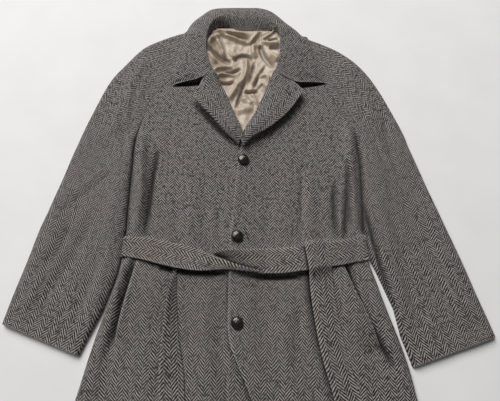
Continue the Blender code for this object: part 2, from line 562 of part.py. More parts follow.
def build_strand(name, table_rows, seam, side, count):
    """Belt across the front, from where it turns round the side seam to its tucked end."""
    rows = resample(table_rows, count)
    low = np.stack((rows["low_x"], rows["low_y"]), axis=1)
    top = np.stack((rows["top_x"], rows["top_y"]), axis=1)
    share = np.array((0.0, 0.12, 0.36, 0.64, 0.88, 1.0))
    flat = span(low, top, share)
    turn_y = flat[0, :, 1]
    turn = np.stack((seam_x(seam, turn_y) + side * BELT_WRAP, turn_y), axis=1)
    plan = np.concatenate((turn[None], flat))
    ground = settle(plan, np.zeros(plan.shape[:2]))
    level = np.concatenate(((WRAP_TOP,), rows["lift"]))[:, None]
    under = settle(plan, np.maximum(ground, level))
    width = np.concatenate(((0.05,), np.hypot(*(top - low).T)))
    thick = wall(share, width, BELT_CLOTH)
    upper, lower = points(plan, under + thick), points(plan, under)
    upper[0, :, 0] += side * BELT_CLOTH * 0.7
    drop_upper, drop_lower = [], []
    for z in WRAP_STEPS:
        level = np.full(len(share), z)
        drop_upper.append(np.stack((turn[:, 0] + side * BELT_CLOTH, turn_y, level), axis=1))
        drop_lower.append(np.stack((turn[:, 0], turn_y, level), axis=1))
    upper = np.concatenate((np.stack(drop_upper), upper))
    lower = np.concatenate((np.stack(drop_lower), lower))
    cloth(name, upper, lower, "wool_belt")


def build_tail(name, table_rows, count):
    rows = resample(table_rows, count)
    left = np.stack((rows["left_x"], rows["left_y"]), axis=1)
    right = np.stack((rows["right_x"], rows["right_y"]), axis=1)
    share = np.array((0.0, 0.12, 0.5, 0.88, 1.0))
    plan = span(left, right, share)
    ground = settle(plan, np.zeros(plan.shape[:2]))
    lift = rows["left_lift"][:, None] * (1.0 - share[None, :]) + rows["right_lift"][:, None] * share[None, :]
    under = settle(plan, ground + lift)
    width = np.hypot(*(right - left).T)
    cloth(name, points(plan, under + wall(share, width, BELT_CLOTH)), points(plan, under), "wool_belt")


def build_loop(name, x, top_y, low_y):
    """A narrow strip sewn down above and below the belt."""
    y = low_y + (top_y - low_y) * np.array(LOOP_SHARES)
    first = np.stack((np.full(len(y), x - LOOP_WIDTH / 2), y), axis=1)
    second = np.stack((np.full(len(y), x + LOOP_WIDTH / 2), y), axis=1)
    plan = span(first, second, np.array((0.0, 0.2, 0.8, 1.0)))
    under = settle(plan, np.zeros(plan.shape[:2]))
    cloth(name, points(plan, under + LOOP_CLOTH), points(plan, under), "wool_belt")


def build_button(name, x, y):
    angle = np.linspace(0.0, 2.0 * math.pi, BUTTON_SIDES, endpoint=False)
    reach = np.linspace(0.0, BUTTON["radius"].max(), 5)[:, None]
    floor = heights(x + reach * np.cos(angle), y + reach * np.sin(angle)).max() + GAP
    corners, faces = [], []
    for radius, height in zip(BUTTON["radius"], BUTTON["height"]):
        for turn in angle:
            corners.append((x + radius * math.cos(turn), y + radius * math.sin(turn), floor + height))
    corners.append((x, y, floor + BUTTON_TOP))
    corners.append((x, y, floor))
    rings = len(BUTTON["radius"])
    crown, base = rings * BUTTON_SIDES, rings * BUTTON_SIDES + 1
    for side in range(BUTTON_SIDES):
        after = (side + 1) % BUTTON_SIDES
        for ring in range(rings - 1):
            here, above = ring * BUTTON_SIDES, (ring + 1) * BUTTON_SIDES
            faces.append((here + side, here + after, above + after, above + side))
        last = (rings - 1) * BUTTON_SIDES
        faces.append((last + side, last + after, crown))
        faces.append((after, side, base))
    place(name, corners, faces, "horn")


def build():
    for leftover in list(bpy.data.objects):
        bpy.data.objects.remove(leftover)
    build_belt_back()
    build_back()
    build_sleeve_back("sleeve_back_right", SLEEVE_RIGHT, SEAM_RIGHT, BACK_RAGLAN_RIGHT, -1.0,
                      SLEEVE_BACK_ROWS + (-0.116, -0.144, -0.172, -0.250, -0.338))
    build_sleeve_back("sleeve_back_left", SLEEVE_LEFT, SEAM_LEFT, BACK_RAGLAN_LEFT, 1.0,
                      SLEEVE_BACK_ROWS + (-0.116, -0.144, -0.165, -0.245, -0.300, -0.359))
    build_lining()
    build_front("front_right", SEAM_RIGHT, EDGE_RIGHT, ROWS_RIGHT)
    build_sleeve_front("sleeve_front_right", SLEEVE_RIGHT, SEAM_RIGHT, -1.0, SLEEVE_ROWS_RIGHT,
                       "sleeve_right")
    build_lapel("lapel_right", LAPEL_RIGHT, 11)
    build_front("front_left", SEAM_LEFT, EDGE_LEFT, ROWS_LEFT)
    build_sleeve_front("sleeve_front_left", SLEEVE_LEFT, SEAM_LEFT, 1.0, SLEEVE_ROWS_LEFT, "sleeve_left")
    build_lapel("lapel_left", LAPEL_LEFT, 13)
    build_collar()
    build_welt("pocket_welt_right", WELT_RIGHT)
    build_welt("pocket_welt_left", WELT_LEFT)
    build_strand("belt_left", BELT_LEFT, SEAM_LEFT, 1.0, 17)
    build_tail("belt_tail_right", TAIL_RIGHT, 14)
    build_strand("belt_right", BELT_RIGHT, SEAM_RIGHT, -1.0, 17)
    build_tail("belt_tail_left", TAIL_LEFT, 14)
    build_loop("belt_loop", LOOP_X, LOOP_TOP, LOOP_LOW)
    for number, (x, y) in enumerate(zip(BUTTONS["x"], BUTTONS["y"]), start=1):
        build_button(f"button_{number}", x, y)


build()
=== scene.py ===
"""Belted wool overcoat laid on its back: tweed cloth, satin lining, loose belt and leather buttons.

Metres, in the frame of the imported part. The panels lie on each other as thin closed walls, and right and
left are the wearer's.
"""
import math

import bmesh
import bpy
import numpy as np
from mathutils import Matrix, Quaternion, Vector, noise
from mathutils.bvhtree import BVHTree


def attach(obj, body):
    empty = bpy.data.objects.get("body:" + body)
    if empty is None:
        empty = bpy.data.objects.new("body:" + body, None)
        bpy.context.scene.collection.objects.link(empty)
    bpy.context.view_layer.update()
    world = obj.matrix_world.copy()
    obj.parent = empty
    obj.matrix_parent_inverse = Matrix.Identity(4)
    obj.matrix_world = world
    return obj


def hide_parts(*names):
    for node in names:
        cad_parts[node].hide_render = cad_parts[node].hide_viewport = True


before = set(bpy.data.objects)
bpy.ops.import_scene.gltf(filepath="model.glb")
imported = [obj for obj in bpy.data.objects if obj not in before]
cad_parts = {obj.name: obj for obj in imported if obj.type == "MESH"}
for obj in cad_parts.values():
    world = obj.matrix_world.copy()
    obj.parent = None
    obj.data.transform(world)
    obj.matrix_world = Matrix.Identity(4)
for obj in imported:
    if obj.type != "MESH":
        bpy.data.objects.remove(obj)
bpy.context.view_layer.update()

PER_METRE = 1000.0      # the tables of plans and heights are in millimetres
OUTWARD = {"right": -1.0, "left": 1.0}  # way along X from the middle to each side
LAP_SIDE = "left"       # the front that lies over the other

CLOTH = 0.0030          # wall of the wool cloth
SATIN = 0.0010          # wall of the lining
COLLAR_CLOTH = 0.0036   # collar: two layers of cloth and a stiffener
WELT_CLOTH = 0.0020     # pocket welts
BELT_CLOTH = 0.0030     # belt
LOOP_CLOTH = 0.0022     # belt loop
GAP = 0.0003            # between neighbouring pieces
AIR = 0.0062            # air held between the lower and the upper panels
LINING_AIR = 0.0080     # height at which the lining's cloth floats between its creases
LINING_SIDE = 0.0230    # how far it climbs to the collar at its sides
LINING_CLIMB = 0.055    # width over which it climbs
LINING_CURVE = 1.3      # how hollow that climb is
LINING_LOW = 0.29       # below this height it lies low beside the lapels
LINING_RISE = 0.09      # length over which the climb begins above that
LINING_NECK = 0.009     # how far it climbs to the collar's stand
LINING_EASE = 0.045     # length over which the sides' climb ends below the neck
LINING_DEPTH = 1.50     # depth of its creases
LINING_WIDE = 1.25      # and their width
LINING_CALM = 0.004     # margin of the lining that lies flat
LINING_BLEND = 0.012    # width over which its creases grow from that margin
LINING_WIDTH = 0.2      # its usual width
EDGE_TURN = 0.030       # width over which the lap's edge lifts off the front below
RIM_HIGHLIGHT = 0.0060      # width of the paler rim along free edges, a painted highlight where the edges catch the light
RIM = 0.004             # width over which a wall thins to its free edge
RIM_WALL = 0.0018       # wall at a free edge
RIM_COLUMNS = np.array((0.0, 0.08, 0.3, 0.6, 1.0))  # points across the rim, in its widths
SIDE_ROLL = 0.014       # width over which a panel rolls down to a side seam
LAPEL_ROLL = 0.0050     # radius of the turned edge of a lapel
BACK_INSET = 0.0010     # the back stays this far inside the side seams
BACK_CALM = 0.02        # margin of the back without creases
BACK_BLEND = 0.08       # width over which they grow from it
BELT_BUMP = 0.018       # width of the back's rise over the belt behind it
BELT_BUMP_FLAT = 0.005  # level part of that rise beyond the belt's edges
BELT_WRAP = 0.0006      # clearance of the belt where it turns round the side
BELT_TURN = 0.7         # share of its wall by which its outside leads there
BELT_WIDTH = 0.05
WRAP_STEPS = (0.0004, 0.0030, 0.0060, 0.0085)  # heights of the belt's rows up the side
WRAP_TOP = 0.0105       # and where it turns onto the front
PIT_BLEND = 0.05        # height over which the rolled side seam fades at the armpit
SEAM_PIT = 8            # row of a side seam's table where that begins on a front
SLEEVE_PIT = 5          # and row of a sleeve's table where it begins on a sleeve
HEM_ROLL = 0.03         # length over which a front settles down to its hem
HOLLOW_LEAST = -0.0070  # troughs deeper than this get painted shade inside
HOLLOW_FULL = 0.0110    # depth at which that painted shade is darkest
TROUGH_PAINTED_SHADE = 0.90     # how far that painted shade darkens the cloth's colour
SATIN_PAINTED_SHADE = 0.60      # how far the satin's colour is darkened by painted shade in its own troughs
SEAM_PAINTED_SHADE = 0.85       # painted shade: how far the cloth's colour is darkened where a sleeve lies against the side
SEAM_SHADE_WIDTH = 0.0095      # width of that painted shade line
SEAM_ENDS = (-0.100, 0.190)  # its lower and upper end
SEAM_FADE = 0.040       # length over which it fades at its ends
SHARP = 55.0            # degrees from which an edge of the cloth shows as an edge

CLOTH_STEP = 0.0042     # spacing of the points in the wool panels
SATIN_STEP = 0.0020     # in the lining
TRIM_STEP = 0.0035      # in the belt and the welts
SLEEVE_BACK_STEP = 0.007  # and in the sleeve backs, which lie on the floor
SLEEVE_TRIES = 400      # trial rows from which a sleeve's even ones are read
# Usual width of a piece and spacing of its points across.
COLUMNS = {
    "belt": (BELT_WIDTH, TRIM_STEP), "belt_back": (BELT_WIDTH, CLOTH_STEP), "back": (0.55, 0.0075),
    "sleeve_back": (0.18, SLEEVE_BACK_STEP), "sleeve_front": (0.18, CLOTH_STEP),
    "front": (0.29, CLOTH_STEP), "lapel": (0.07, 0.0030), "welt": (0.055, TRIM_STEP)}
# Rows of points along a piece.
ROWS = {
    "belt_back": 130, "back": 150, "lapel_right": 66, "lapel_left": 76, "collar": 170, "welt": 52,
    "strand": 100, "tail": 84, "loop": 40}
# Small uneven waves of handled cloth: their size, depth and seed.
RIPPLES = {
    "front": (0.050, 0.0010, 7.0), "sleeve_right": (0.045, 0.0011, -3.0),
    "sleeve_left": (0.045, 0.0011, 3.0), "lining": (0.016, 0.0020, 5.0), "satin": (0.007, 0.0006, 8.0),
    "collar": (0.035, 0.0008, 9.0), "belt": (0.03, 0.0009, 11.0)}

WEAVE_COLUMN = 0.0124   # width of a column of the herringbone
WEAVE_PITCH = 0.0067    # height of one pale and one dark rib
WEAVE_LEAN = 0.0059     # width over which a rib climbs by its pitch
FLECK = (0.34, 0.31, 0.28)
# Dark yarn, pale yarn and coarseness of the wool of each part.
WOOLS = {
    "wool_body": ((0.003, 0.0026, 0.0024), (0.400, 0.368, 0.352), 1.0),
    "wool_collar": ((0.003, 0.0026, 0.0025), (0.375, 0.347, 0.335), 1.0),
    "wool_belt": ((0.003, 0.0026, 0.0024), (0.410, 0.377, 0.357), 1.12)}
SATIN_COLOURS = ((0.365, 0.286, 0.213), (0.54, 0.446, 0.348))
SATIN_SHADE_COLOUR = (0.045, 0.030, 0.018)  # colour of that painted shade in its troughs
SATIN_THREAD = (900.0, 160.0, 1.0)  # fineness of its threads across and along
THREAD_COLOURS = ((0.008, 0.007, 0.006), (0.035, 0.031, 0.029))
LEATHER_COLOURS = ((0.010, 0.007, 0.006), (0.034, 0.022, 0.016))
FLOOR_COLOURS = ((0.88, 0.88, 0.88), (0.92, 0.92, 0.915))

CAMERA_PLACE = (0.005, -0.3046, 0.8932)
CAMERA_TILT = 19.0      # degrees from straight down
CAMERA_LENS = 28.944    # millimetres
CAMERA_SENSOR = 36.0    # width, in millimetres too
LAMP_PLACE = (-2.15, 3.75, 4.45)
LAMP_POWER = 450.0
LAMP_SIZE = 4.4
LAMP_COLOUR = (1.0, 0.985, 0.96)
SKY_COLOUR = (0.93, 0.96, 1.0)
SKY_STRENGTH = 0.10
FLOOR_SIZE = 7.0
FLOOR_DROP = 0.0004     # how far the floor is under the cloth


def table(columns, *rows, per_unit=PER_METRE):
    """A short table as arrays, by column name."""
    return dict(zip(columns.split(), np.array(rows, dtype=float).T / per_unit))


def sided(columns, right, left):
    """One table for each side, the right one's rows first."""
    return {"right": table(columns, *right), "left": table(columns, *left)}


# Side seams of the fronts, raglan seams of the back, and the fronts' edges.
SEAM = sided(
    "y x",
    ((-567, -379), (-422, -344), (-307, -319), (-236, -300), (-165, -282), (-129, -277), (-34, -277),
     (79, -277), (168, -274), (215, -262), (270, -246), (300, -226), (321, -207), (350, -172),
     (392, -135)),
    ((-567, 363), (-419, 339), (-359, 329), (-301, 314), (-250, 298), (-183, 279), (-129, 264), (-9, 266),
     (132, 267), (186, 260), (213, 243), (250, 225), (294, 208), (324, 195), (350, 165), (392, 125)))
BACK_RAGLAN = sided(
    "y x",
    ((168, -274), (250, -241), (330, -190), (400, -142), (470, -100), (494, -90)),
    ((186, 260), (250, 223), (330, 172), (400, 122), (470, 82), (494, 72)))
EDGE = sided(
    "y x",
    ((-567, 85), (-425, 46), (-300, 20), (0, 12), (95, 8), (135, -1), (168, -12.5), (220, -36),
     (278, -59), (323, -79), (336, -85.5), (378, -106), (392, -112.5)),
    ((-567, 50), (-419, 9), (-364, -15), (-316, -36), (-226, -42), (-162, -41), (-94, -40), (-24, -34),
     (51, -28), (124, -19), (142, -15.5), (165, -8.5), (215, 16.5), (269, 40), (336, 66.5), (378, 83),
     (392, 89)))
BACK_ENDS = (-0.567, 0.494)
FRONT_ENDS = (-0.563, 0.392)

SLEEVE = sided(
    "inner_y back_y outer_x outer_y clear",
    ((392, 494, -125, 486, 0.3), (350, 470, -180, 479.5, 0.3), (321, 440, -231, 458.5, 0.3),
     (296, 400, -276, 433, 0.3), (262, 330, -325, 374, 0.3), (215, 250, -360, 319, 0.3),
     (168, 168, -389, 238, 0.3), (79, 79, -419.5, 135, 0.3), (-34, -34, -444, 38, 0.3),
     (-72, -72, -457, -10.5, 0.8), (-84, -84, -461, -26, 4.6), (-116, -116, -472, -63, 4.6),
     (-172, -172, -488, -138, 4), (-250, -250, -506, -215, 6), (-338, -338, -518, -275, 22)),
    ((392, 494, 112, 474, 0.3), (350, 465, 160, 461, 0.3), (324, 435, 208, 439, 0.3),
     (285, 390, 262, 403, 0.3), (245, 320, 309, 349, 0.3), (213, 250, 340, 289, 0.3),
     (186, 186, 367, 220, 0.3), (100, 100, 395, 128, 0.3), (0, 0, 426, 18, 0.3),
     (-72, -72, 446.5, -51, 0.8), (-84, -84, 450, -63, 4.6), (-116, -116, 461, -98, 4.6),
     (-165, -165, 475, -145, 9), (-245, -245, 496, -223, 16), (-300, -300, 509, -268, 7),
     (-359, -359, 518, -301, 9)))

# A crease: x and y of three points on its run, its half widths left and right of that run, and its rise,
# which is negative for a trough.
CREASES = {
    "front_right": (
        (-262, 185, -249, 40, -250, -96, 18, 26, 15), (-216, 132, -225, 56, -229, -90, 12, 9, -11),
        (-130, 260, -122, 70, -110, -120, 60, 60, 3.5), (-95, 350, -52, 235, -10, 120, 60, 60, 7),
        (-168, 20, -162, -48, -154, -112, 14, 14, -3.5), (-148, 90, -132, 1, -129, -108, 20, 20, 3),
        (-100, 77, -99, -24, -89, -120, 16, 16, -3), (-62, -10, -64, -62, -58, -112, 12, 12, -3.5),
        (-271, -140, -286, -235, -303, -350, 18, 22, 8.5),
        (-195, -130, -206, -330, -205, -540, 45, 45, 6), (-100, -150, -82, -340, -85, -560, 35, 35, 5.5),
        (-138, -316, -133, -364, -122, -440, 10, 14, -4.5),
        (-62, -260, -50, -370, -30, -500, 20, 20, -3.5), (-281, -300, -287, -380, -300, -500, 20, 24, -5),
        (-249, -130, -264, -215, -283, -325, 10, 11, -14), (-37, -165, -38, -250, -34, -325, 14, 8, -8),
        (-36, -306, -11, -364, 21, -447, 16, 9, -13), (-62, -306, -34, -370, -2, -450, 14, 20, 5),
        (-141, 264, -88, 202, -26, 133, 14, 13, -9.5), (-215, -150, -130, -166, -40, -166, 10, 10, -10),
        (-198, 315, -158, 317, -105, 320, 12, 10, -12)),
    "front_left": (
        (134, -150, 140, -250, 156, -345, 12, 9, -17), (116, -155, 121, -255, 137, -350, 14, 22, 6.5),
        (152, -330, 168, -392, 187, -462, 12, 9, -16), (132, -330, 148, -395, 168, -470, 14, 22, 5.5),
        (250, 215, 243, 60, 246, -100, 20, 24, 13), (262, -130, 288, -270, 318, -420, 22, 22, 5.5),
        (90, -140, 88, -330, 105, -550, 40, 40, 6), (211, 40, 212, -29, 207, -92, 14, 14, 5.5),
        (145, 110, 142, 0, 136, -110, 26, 16, 3.5), (76, 360, 28, 230, -16, 110, 60, 60, 8.5),
        (127, 95, 126, 0, 117, -98, 12, 10, -6.5), (207, 46, 199, -15, 199, -94, 12, 10, -9),
        (236, 110, 231, 5, 216, -98, 10, 10, -9), (153, 183, 146, 129, 152, 63, 12, 16, -3.5),
        (48, 76, 51, -12, 41, -108, 16, 16, -3), (90, 129, 92, 25, 81, -98, 18, 18, 2),
        (18, -205, 26, -307, 49, -430, 20, 20, -3.5), (123, -226, 103, -297, 97, -400, 14, 16, -5),
        (221, -205, 226, -287, 240, -420, 22, 22, 3), (-36, -318, -6, -350, 29, -372, 12, 12, 2.5),
        (213, -140, 244, -240, 300, -365, 11, 10, -17), (196, -150, 222, -225, 258, -330, 22, 30, 6),
        (-40, -167, 40, -179, 128, -175, 10, 10, -11.5), (108, 309, 150, 313, 200, 321, 12, 9, -11)),
    "sleeve_right": (
        (-262, 405, -296, 290, -318, 170, 40, 40, 7), (-300, 180, -312, -80, -330, -320, 34, 34, 6.5),
        (-420, 40, -448, -110, -470, -260, 40, 40, 5.5), (-334, 76, -384, 19, -441, -40, 26, 18, -3.2),
        (-318, 105, -360, 50, -415, -4, 16, 20, 3), (-311, 275, -309, 199, -292, 104, 14, 18, -4.5),
        (-257, 372, -288, 281, -287, 157, 16, 16, -3.5),
        (-352, -35, -384, -128, -435, -226, 18, 24, -4.5),
        (-313, -71, -331, -161, -365, -267, 16, 20, -4.5),
        (-404, -71, -429, -128, -473, -194, 18, 18, -3.5)),
    "sleeve_left": (
        (245, 395, 290, 280, 312, 150, 40, 40, 7), (300, 180, 314, -70, 335, -330, 34, 34, 6.5),
        (405, 30, 438, -120, 468, -280, 40, 40, 5.5), (293, 213, 305, 157, 333, 84, 16, 12, -5),
        (340, 236, 346, 130, 362, 62, 16, 14, -4.5), (345, 72, 383, 39, 428, -26, 14, 20, -5.5),
        (294, 52, 318, -11, 343, -94, 14, 16, -4.5), (356, 14, 382, -52, 431, -105, 14, 18, -5),
        (266, 347, 291, 277, 278, 185, 16, 16, -3.5), (307, -117, 343, -183, 372, -287, 18, 18, -4.5),
        (390, -82, 424, -150, 477, -226, 18, 18, -4), (268, 20, 284, -110, 312, -245, 9, 9, -10)),
    "belt_left": (
        (114, -98, 130, -120, 135, -182, 8, 9, -16), (94, -108, 108, -106, 124, -114, 8, 7, -14),
        (-82, -128, -28, -149, 38, -167, 10, 12, -12)),
    "belt_right": (
        (-150, -104, -110, -125, -60, -150, 10, 16, -2),),
    "back": (
        (-150, 350, -110, 150, -130, -60, 40, 40, 1.2), (120, 330, 90, 120, 110, -60, 40, 40, 1.2),
        (-100, -160, -120, -340, -140, -540, 50, 50, 1.4),
        (110, -160, 120, -340, 140, -540, 50, 50, 1.4)),
    "lining": (
        (-52, 176, -12, 172, 28, 178, 50, 25, 8.5), (-106, 483, -49, 475, 8, 468, 5, 7, 4),
        (-84, 479, -43, 458, 2, 439, 7, 8, 6.5), (0, 437, 13, 452, 31, 480, 7, 6, 6.5),
        (-66, 468, -30, 465, 4, 452, 7, 7, -4.5), (-79, 470, -94, 449, -109, 435, 8, 8, 6),
        (-86, 455, -72, 426, -62, 393, 8, 6, 6.2), (-55, 420, -45, 406, -33, 394, 5, 5, 3.5),
        (-112, 432, -80, 400, -42, 383, 8, 10, -8.5), (-100, 405, -93, 391, -82, 373, 8, 8, 5.5),
        (-40, 386, -14, 402, 13, 390, 8, 8, -8), (-8, 396, -5, 353, -21, 306, 8, 9, 7.5),
        (-20, 332, -33, 298, -50, 268, 9, 8, 6.5), (21, 442, 13, 419, 22, 396, 8, 8, 5.5),
        (34, 438, 39, 406, 69, 357, 9, 7, -8), (64, 460, 73, 485, 81, 459, 5, 5, 6),
        (33, 453, 53, 462, 69, 476, 6, 6, 5.5), (35, 450, 58, 437, 88, 427, 6, 7, 6),
        (52, 450, 68, 449, 86, 444, 5, 5, -5), (56, 428, 70, 420, 88, 414, 6, 6, -5.5),
        (56, 400, 69, 391, 75, 374, 9, 9, 5), (-88, 352, -68, 362, -42, 366, 5, 6, 6),
        (-82, 330, -65, 341, -34, 338, 6, 5, 6), (-60, 349, -40, 352, -19, 364, 6, 6, -6),
        (-78, 320, -57, 317, -34, 323, 5, 6, -6), (-9, 320, -20, 283, -31, 240, 5, 5, -5.5),
        (44, 376, 26, 344, 7, 311, 5, 6, 4.2), (32, 354, 23, 328, 14, 302, 4, 5, -4.5),
        (19, 385, 10, 350, 1, 318, 5, 6, -4.5), (26, 334, 51, 333, 45, 296, 6, 6, 5.5),
        (22, 303, 36, 314, 45, 303, 5, 5, 4), (-8, 294, 8, 291, 26, 296, 6, 6, -6),
        (-16, 276, -3, 266, 10, 255, 12, 12, 4), (-34, 232, -12, 238, 14, 243, 12, 14, 5),
        (8, 288, 15, 274, 27, 250, 5, 6, 3.5), (-32, 205, -12, 198, 10, 214, 12, 12, -2.2)),
}
CREASE_STEPS = 12       # straight steps along a crease

LINING = table(
    "y left right",
    (128, -34, 11), (165, -45, 22), (215, -62, 38), (270, -84, 62), (325, -104, 82), (370, -114, 92),
    (410, -117, 93), (450, -114, 91), (472, -110, 87), (492, -103, 81))
LAPEL = sided(
    "roll_x roll_y edge_x edge_y lift",
    ((-86.5, 342, -117.5, 337, 2), (-82, 332.8, -117, 325.5, 5), (-77, 318, -124, 299, 10),
     (-70, 302, -137, 269, 14), (-62, 286, -125.5, 253, 15.5), (-45, 244, -83.5, 204, 14.5),
     (-28, 203, -49.5, 163, 11.5), (-11.2, 160, -22, 136, 5)),
    ((70, 345, 120.5, 326, 2), (66, 335, 120.5, 315.5, 7), (61, 321, 126, 303, 12),
     (55, 306, 137, 282, 15), (50, 293, 127, 263, 16), (35, 257, 96, 220, 15), (17, 216, 52, 180, 11.5),
     (-4, 174, 12, 153, 7), (-15.2, 141, -11, 129, 3)))
LAPEL_TURNS = np.array((1.0, 0.97, 0.88, 0.7, 0.45, 0.2))  # rows round its fold, in roll radii
LAPEL_CURVE = 1.5       # how late a lapel's lift grows towards its free edge
LAPEL_BOW = 0.35        # share of a lapel's lift that bows its middle
LAPEL_TOP = 0.01        # how far down a lapel the painted highlight across its top edge lies
GORGE_STEP = 0.0024     # rise of a lapel beside the collar that ends on it
GORGE_RUN = 0.009       # length of the lapel's top that lies under the collar
GORGE_BLEND = 0.020     # length over which the collar thins into the lapels
GORGE_CURVE = 1.5       # how late it gets its wall there
GORGE_LENGTHS = (0.036, 0.054)  # from the fold to where the collar leaves each lapel
GORGE_EASE = 0.012      # length over which it lifts off there

COLLAR = table(
    "crest_x crest_y crest_z lean edge_x edge_y lift sag",
    (-81.5, 333.5, 27, 1.5, -195, 311, 3, 0), (-92, 352, 29, 1.5, -193, 335, 2.5, 0),
    (-102, 378, 31, 1.5, -189, 370, 3.5, 0), (-109, 408, 33, 2, -184, 408, 1.5, 0),
    (-110, 440, 35, 2, -178, 447, 0, 0), (-107, 465, 36.5, 2.5, -171, 482, 0, 0),
    (-99, 492, 35, 10, -158, 514, 0, 0), (-85, 512, 32, 27, -130, 544, 0, 0),
    (-63, 519, 30.5, 34.5, -101, 566, 0, 0), (-36, 518, 30, 35, -55, 571, 0, 0),
    (-8, 517, 30, 35, -10, 571, 0, 0), (18, 516, 30, 34.5, 33, 570, 0, 0),
    (41, 513, 30.5, 33, 62, 560, 0, 0), (61, 504, 32, 25.5, 87, 537, 0, 0),
    (76, 486, 35, 10, 110, 510, 0, 0), (84, 464, 36.5, 2.5, 139, 484, 0, 0),
    (86, 438, 35, 2, 161, 454, 0, 0), (85, 408, 33, 2, 176, 414, 1.5, 0),
    (79, 376, 31, 1.5, 188, 376, 2, -2), (72, 351, 29, 1.5, 195, 341, 2.5, -6),
    (66, 336, 27, 1.5, 199, 317, 3, -13))
STAND = table("out rise", (0.00, 0.00), (0.35, 0.42), (0.75, 0.84), per_unit=1.0)
FALL = table("out fall sag", (0.00, 1.00, 0.00), (0.14, 0.99, 0.33), (0.42, 0.88, 1.00),
             (0.70, 0.64, 0.52), (0.90, 0.30, 0.17), (1.00, 0.00, 0.00), per_unit=1.0)
STAND_LEAN = 0.4        # share of the wall by which the stand's outside closes in upwards
STAND_DROP = 0.7        # and by which it stays lower than the inside
FALL_SET = 0.25         # share by which the fall's underside is set outwards at the fold
COLLAR_LEAST = 0.0004   # wall of the collar where it is sewn into the lapels
COLLAR_LINES = (30, 6)  # lines along the collar up to its free edge, and close to it
COLLAR_EDGE = 0.5       # how far before the edge the even lines end
COLLAR_CLOSE = 0.4      # and the close ones begin
COLLAR_CALM = 2.0       # lines past the fold over which its small waves grow

BELT = sided(
    "top_x top_y low_x low_y top_lift low_lift",
    ((-266, -88, -267, -133, 12, 12), (-231, -90, -228, -141, 18, 21), (-185, -99, -184, -153, 18, 26),
     (-129, -111, -140, -162, 18, 27), (-81, -130, -100, -166, 26, 28), (-30, -150, -45, -163, 29, 24),
     (12, -162, 8, -168, 29, 25), (33, -167, 33, -172.5, 27, 24)),
    ((254, -85, 251, -141, 12, 12), (218, -95, 213, -151, 18, 20), (173, -102, 172, -157, 20, 22),
     (116, -111, 118, -166, 23, 26), (61, -115, 67, -171, 18, 23), (5, -118, 12, -168, 25, 17),
     (-51, -120, -45, -155, 31, 12), (-85, -133, -80, -152, 20, 12)))
BELT_BACK = table(
    "x top_y low_y",
    (-275.5, -88.5, -133), (0, -86, -136), (260.5, -84.5, -139))
TAIL = sided(
    "left_x left_y right_x right_y left_lift right_lift",
    ((-162.5, -156, -154.5, -156, 3, 0), (-163, -180, -154, -180, 10, 0),
     (-167, -208, -152.5, -208, 17, 0), (-172, -255, -148.5, -255, 16, 0),
     (-175.5, -310, -141.5, -310, 12, 0), (-177.5, -365, -130, -365, 7, 1),
     (-174, -421, -124, -421, 1, 1), (-169, -462, -119, -462, 0, 1)),
    ((124, -100, 176.5, -93, 10, 2), (128.5, -135, 179.5, -131, 8, 0), (132, -165, 182, -162, 11, 2),
     (137, -240, 186.5, -236, 11, 2), (149, -326, 200, -320, 10, 2), (165, -392, 215, -384, 8, 2),
     (178, -442, 227.5, -432, 2, 2)))
WELT = sided(
    "mouth_x mouth_y inner_x inner_y",
    ((-244, -140, -192, -152), (-255, -194, -201, -212), (-267, -251, -215, -275),
     (-276, -309, -228, -342)),
    ((211, -148, 161, -160), (233, -209, 178, -224), (257, -267, 196, -286), (274, -317, 208, -342)))
WELT_MOUTH = 0.0100     # how far a pocket mouth stands open
WELT_FADE = 0.030       # width over which a welt thins into the front
WELT_LEAST = 0.0002     # and its wall there
WELT_CURVE = 1.5        # how late it gets its full wall
MOUTH_CURVE = 3         # how soon the open mouth closes across the welt
LOOP_WIDTH = 0.013
LOOP_X = 0.250
LOOP_ENDS = (-0.1440, -0.0735)
LOOP_SHARES = np.array((0.0, 0.06, 0.2, 0.4, 0.6, 0.8, 0.94, 1.0))  # its points across
EDGE_LIFT = table(
    "y lift",
    (-567, 4), (-385, 17), (-340, 9), (-300, 3.5), (-150, 3), (100, 3), (400, 0))
LAP_SHIFT = 0.012       # the upper front's weave does not run on from the lower one's
BUTTONS = table(
    "x y",
    (-11, 100), (-24, -87), (-22, -273))
BUTTON_RADIUS = 0.0135
BUTTON_DOME = 0.0064    # height of the dome over the rim
BUTTON_FOOT = 0.0020    # and of the foot under it
BUTTON_FACES = (72, 44)  # round its rim, and from pole to pole
BUTTON_SOFT = (0.5, 6)  # strength and number of the smoothing rounds
KNOT = 0.00025          # depth of the knotted straps
KNOT_WIDTH = 0.60       # width of a strap, in button radii
KNOT_STRAP = 0.36       # half of it that stays between the grooves
BUTTONHOLES = table("x y length", (101, 275, 25), (-1, -87.4, 19))
HOLE_NODES = ("lapel_left", "front_left")  # what each is worked into
HOLE_TURNS = (-28.0, -4.0)  # degrees
HOLE_SHARP = 40.0       # degrees from which its edges show
HOLE_WIDTH = 0.0030     # across the worked edge of a buttonhole
HOLE_RISE = 0.0008      # and its height over the cloth
HOLE_LIP = 0.35         # share of its width in each worked edge
HOLE_SINK = 0.6         # share of its height by which the slit is sunk
HOLE_BEVEL = 0.25       # and by which its edges are rounded

TREES = []              # the cloth placed so far, which the next piece comes to lie on
SHEETS = {}             # and its pieces, by node
DOWN = Vector((0.0, 0.0, -1.0))


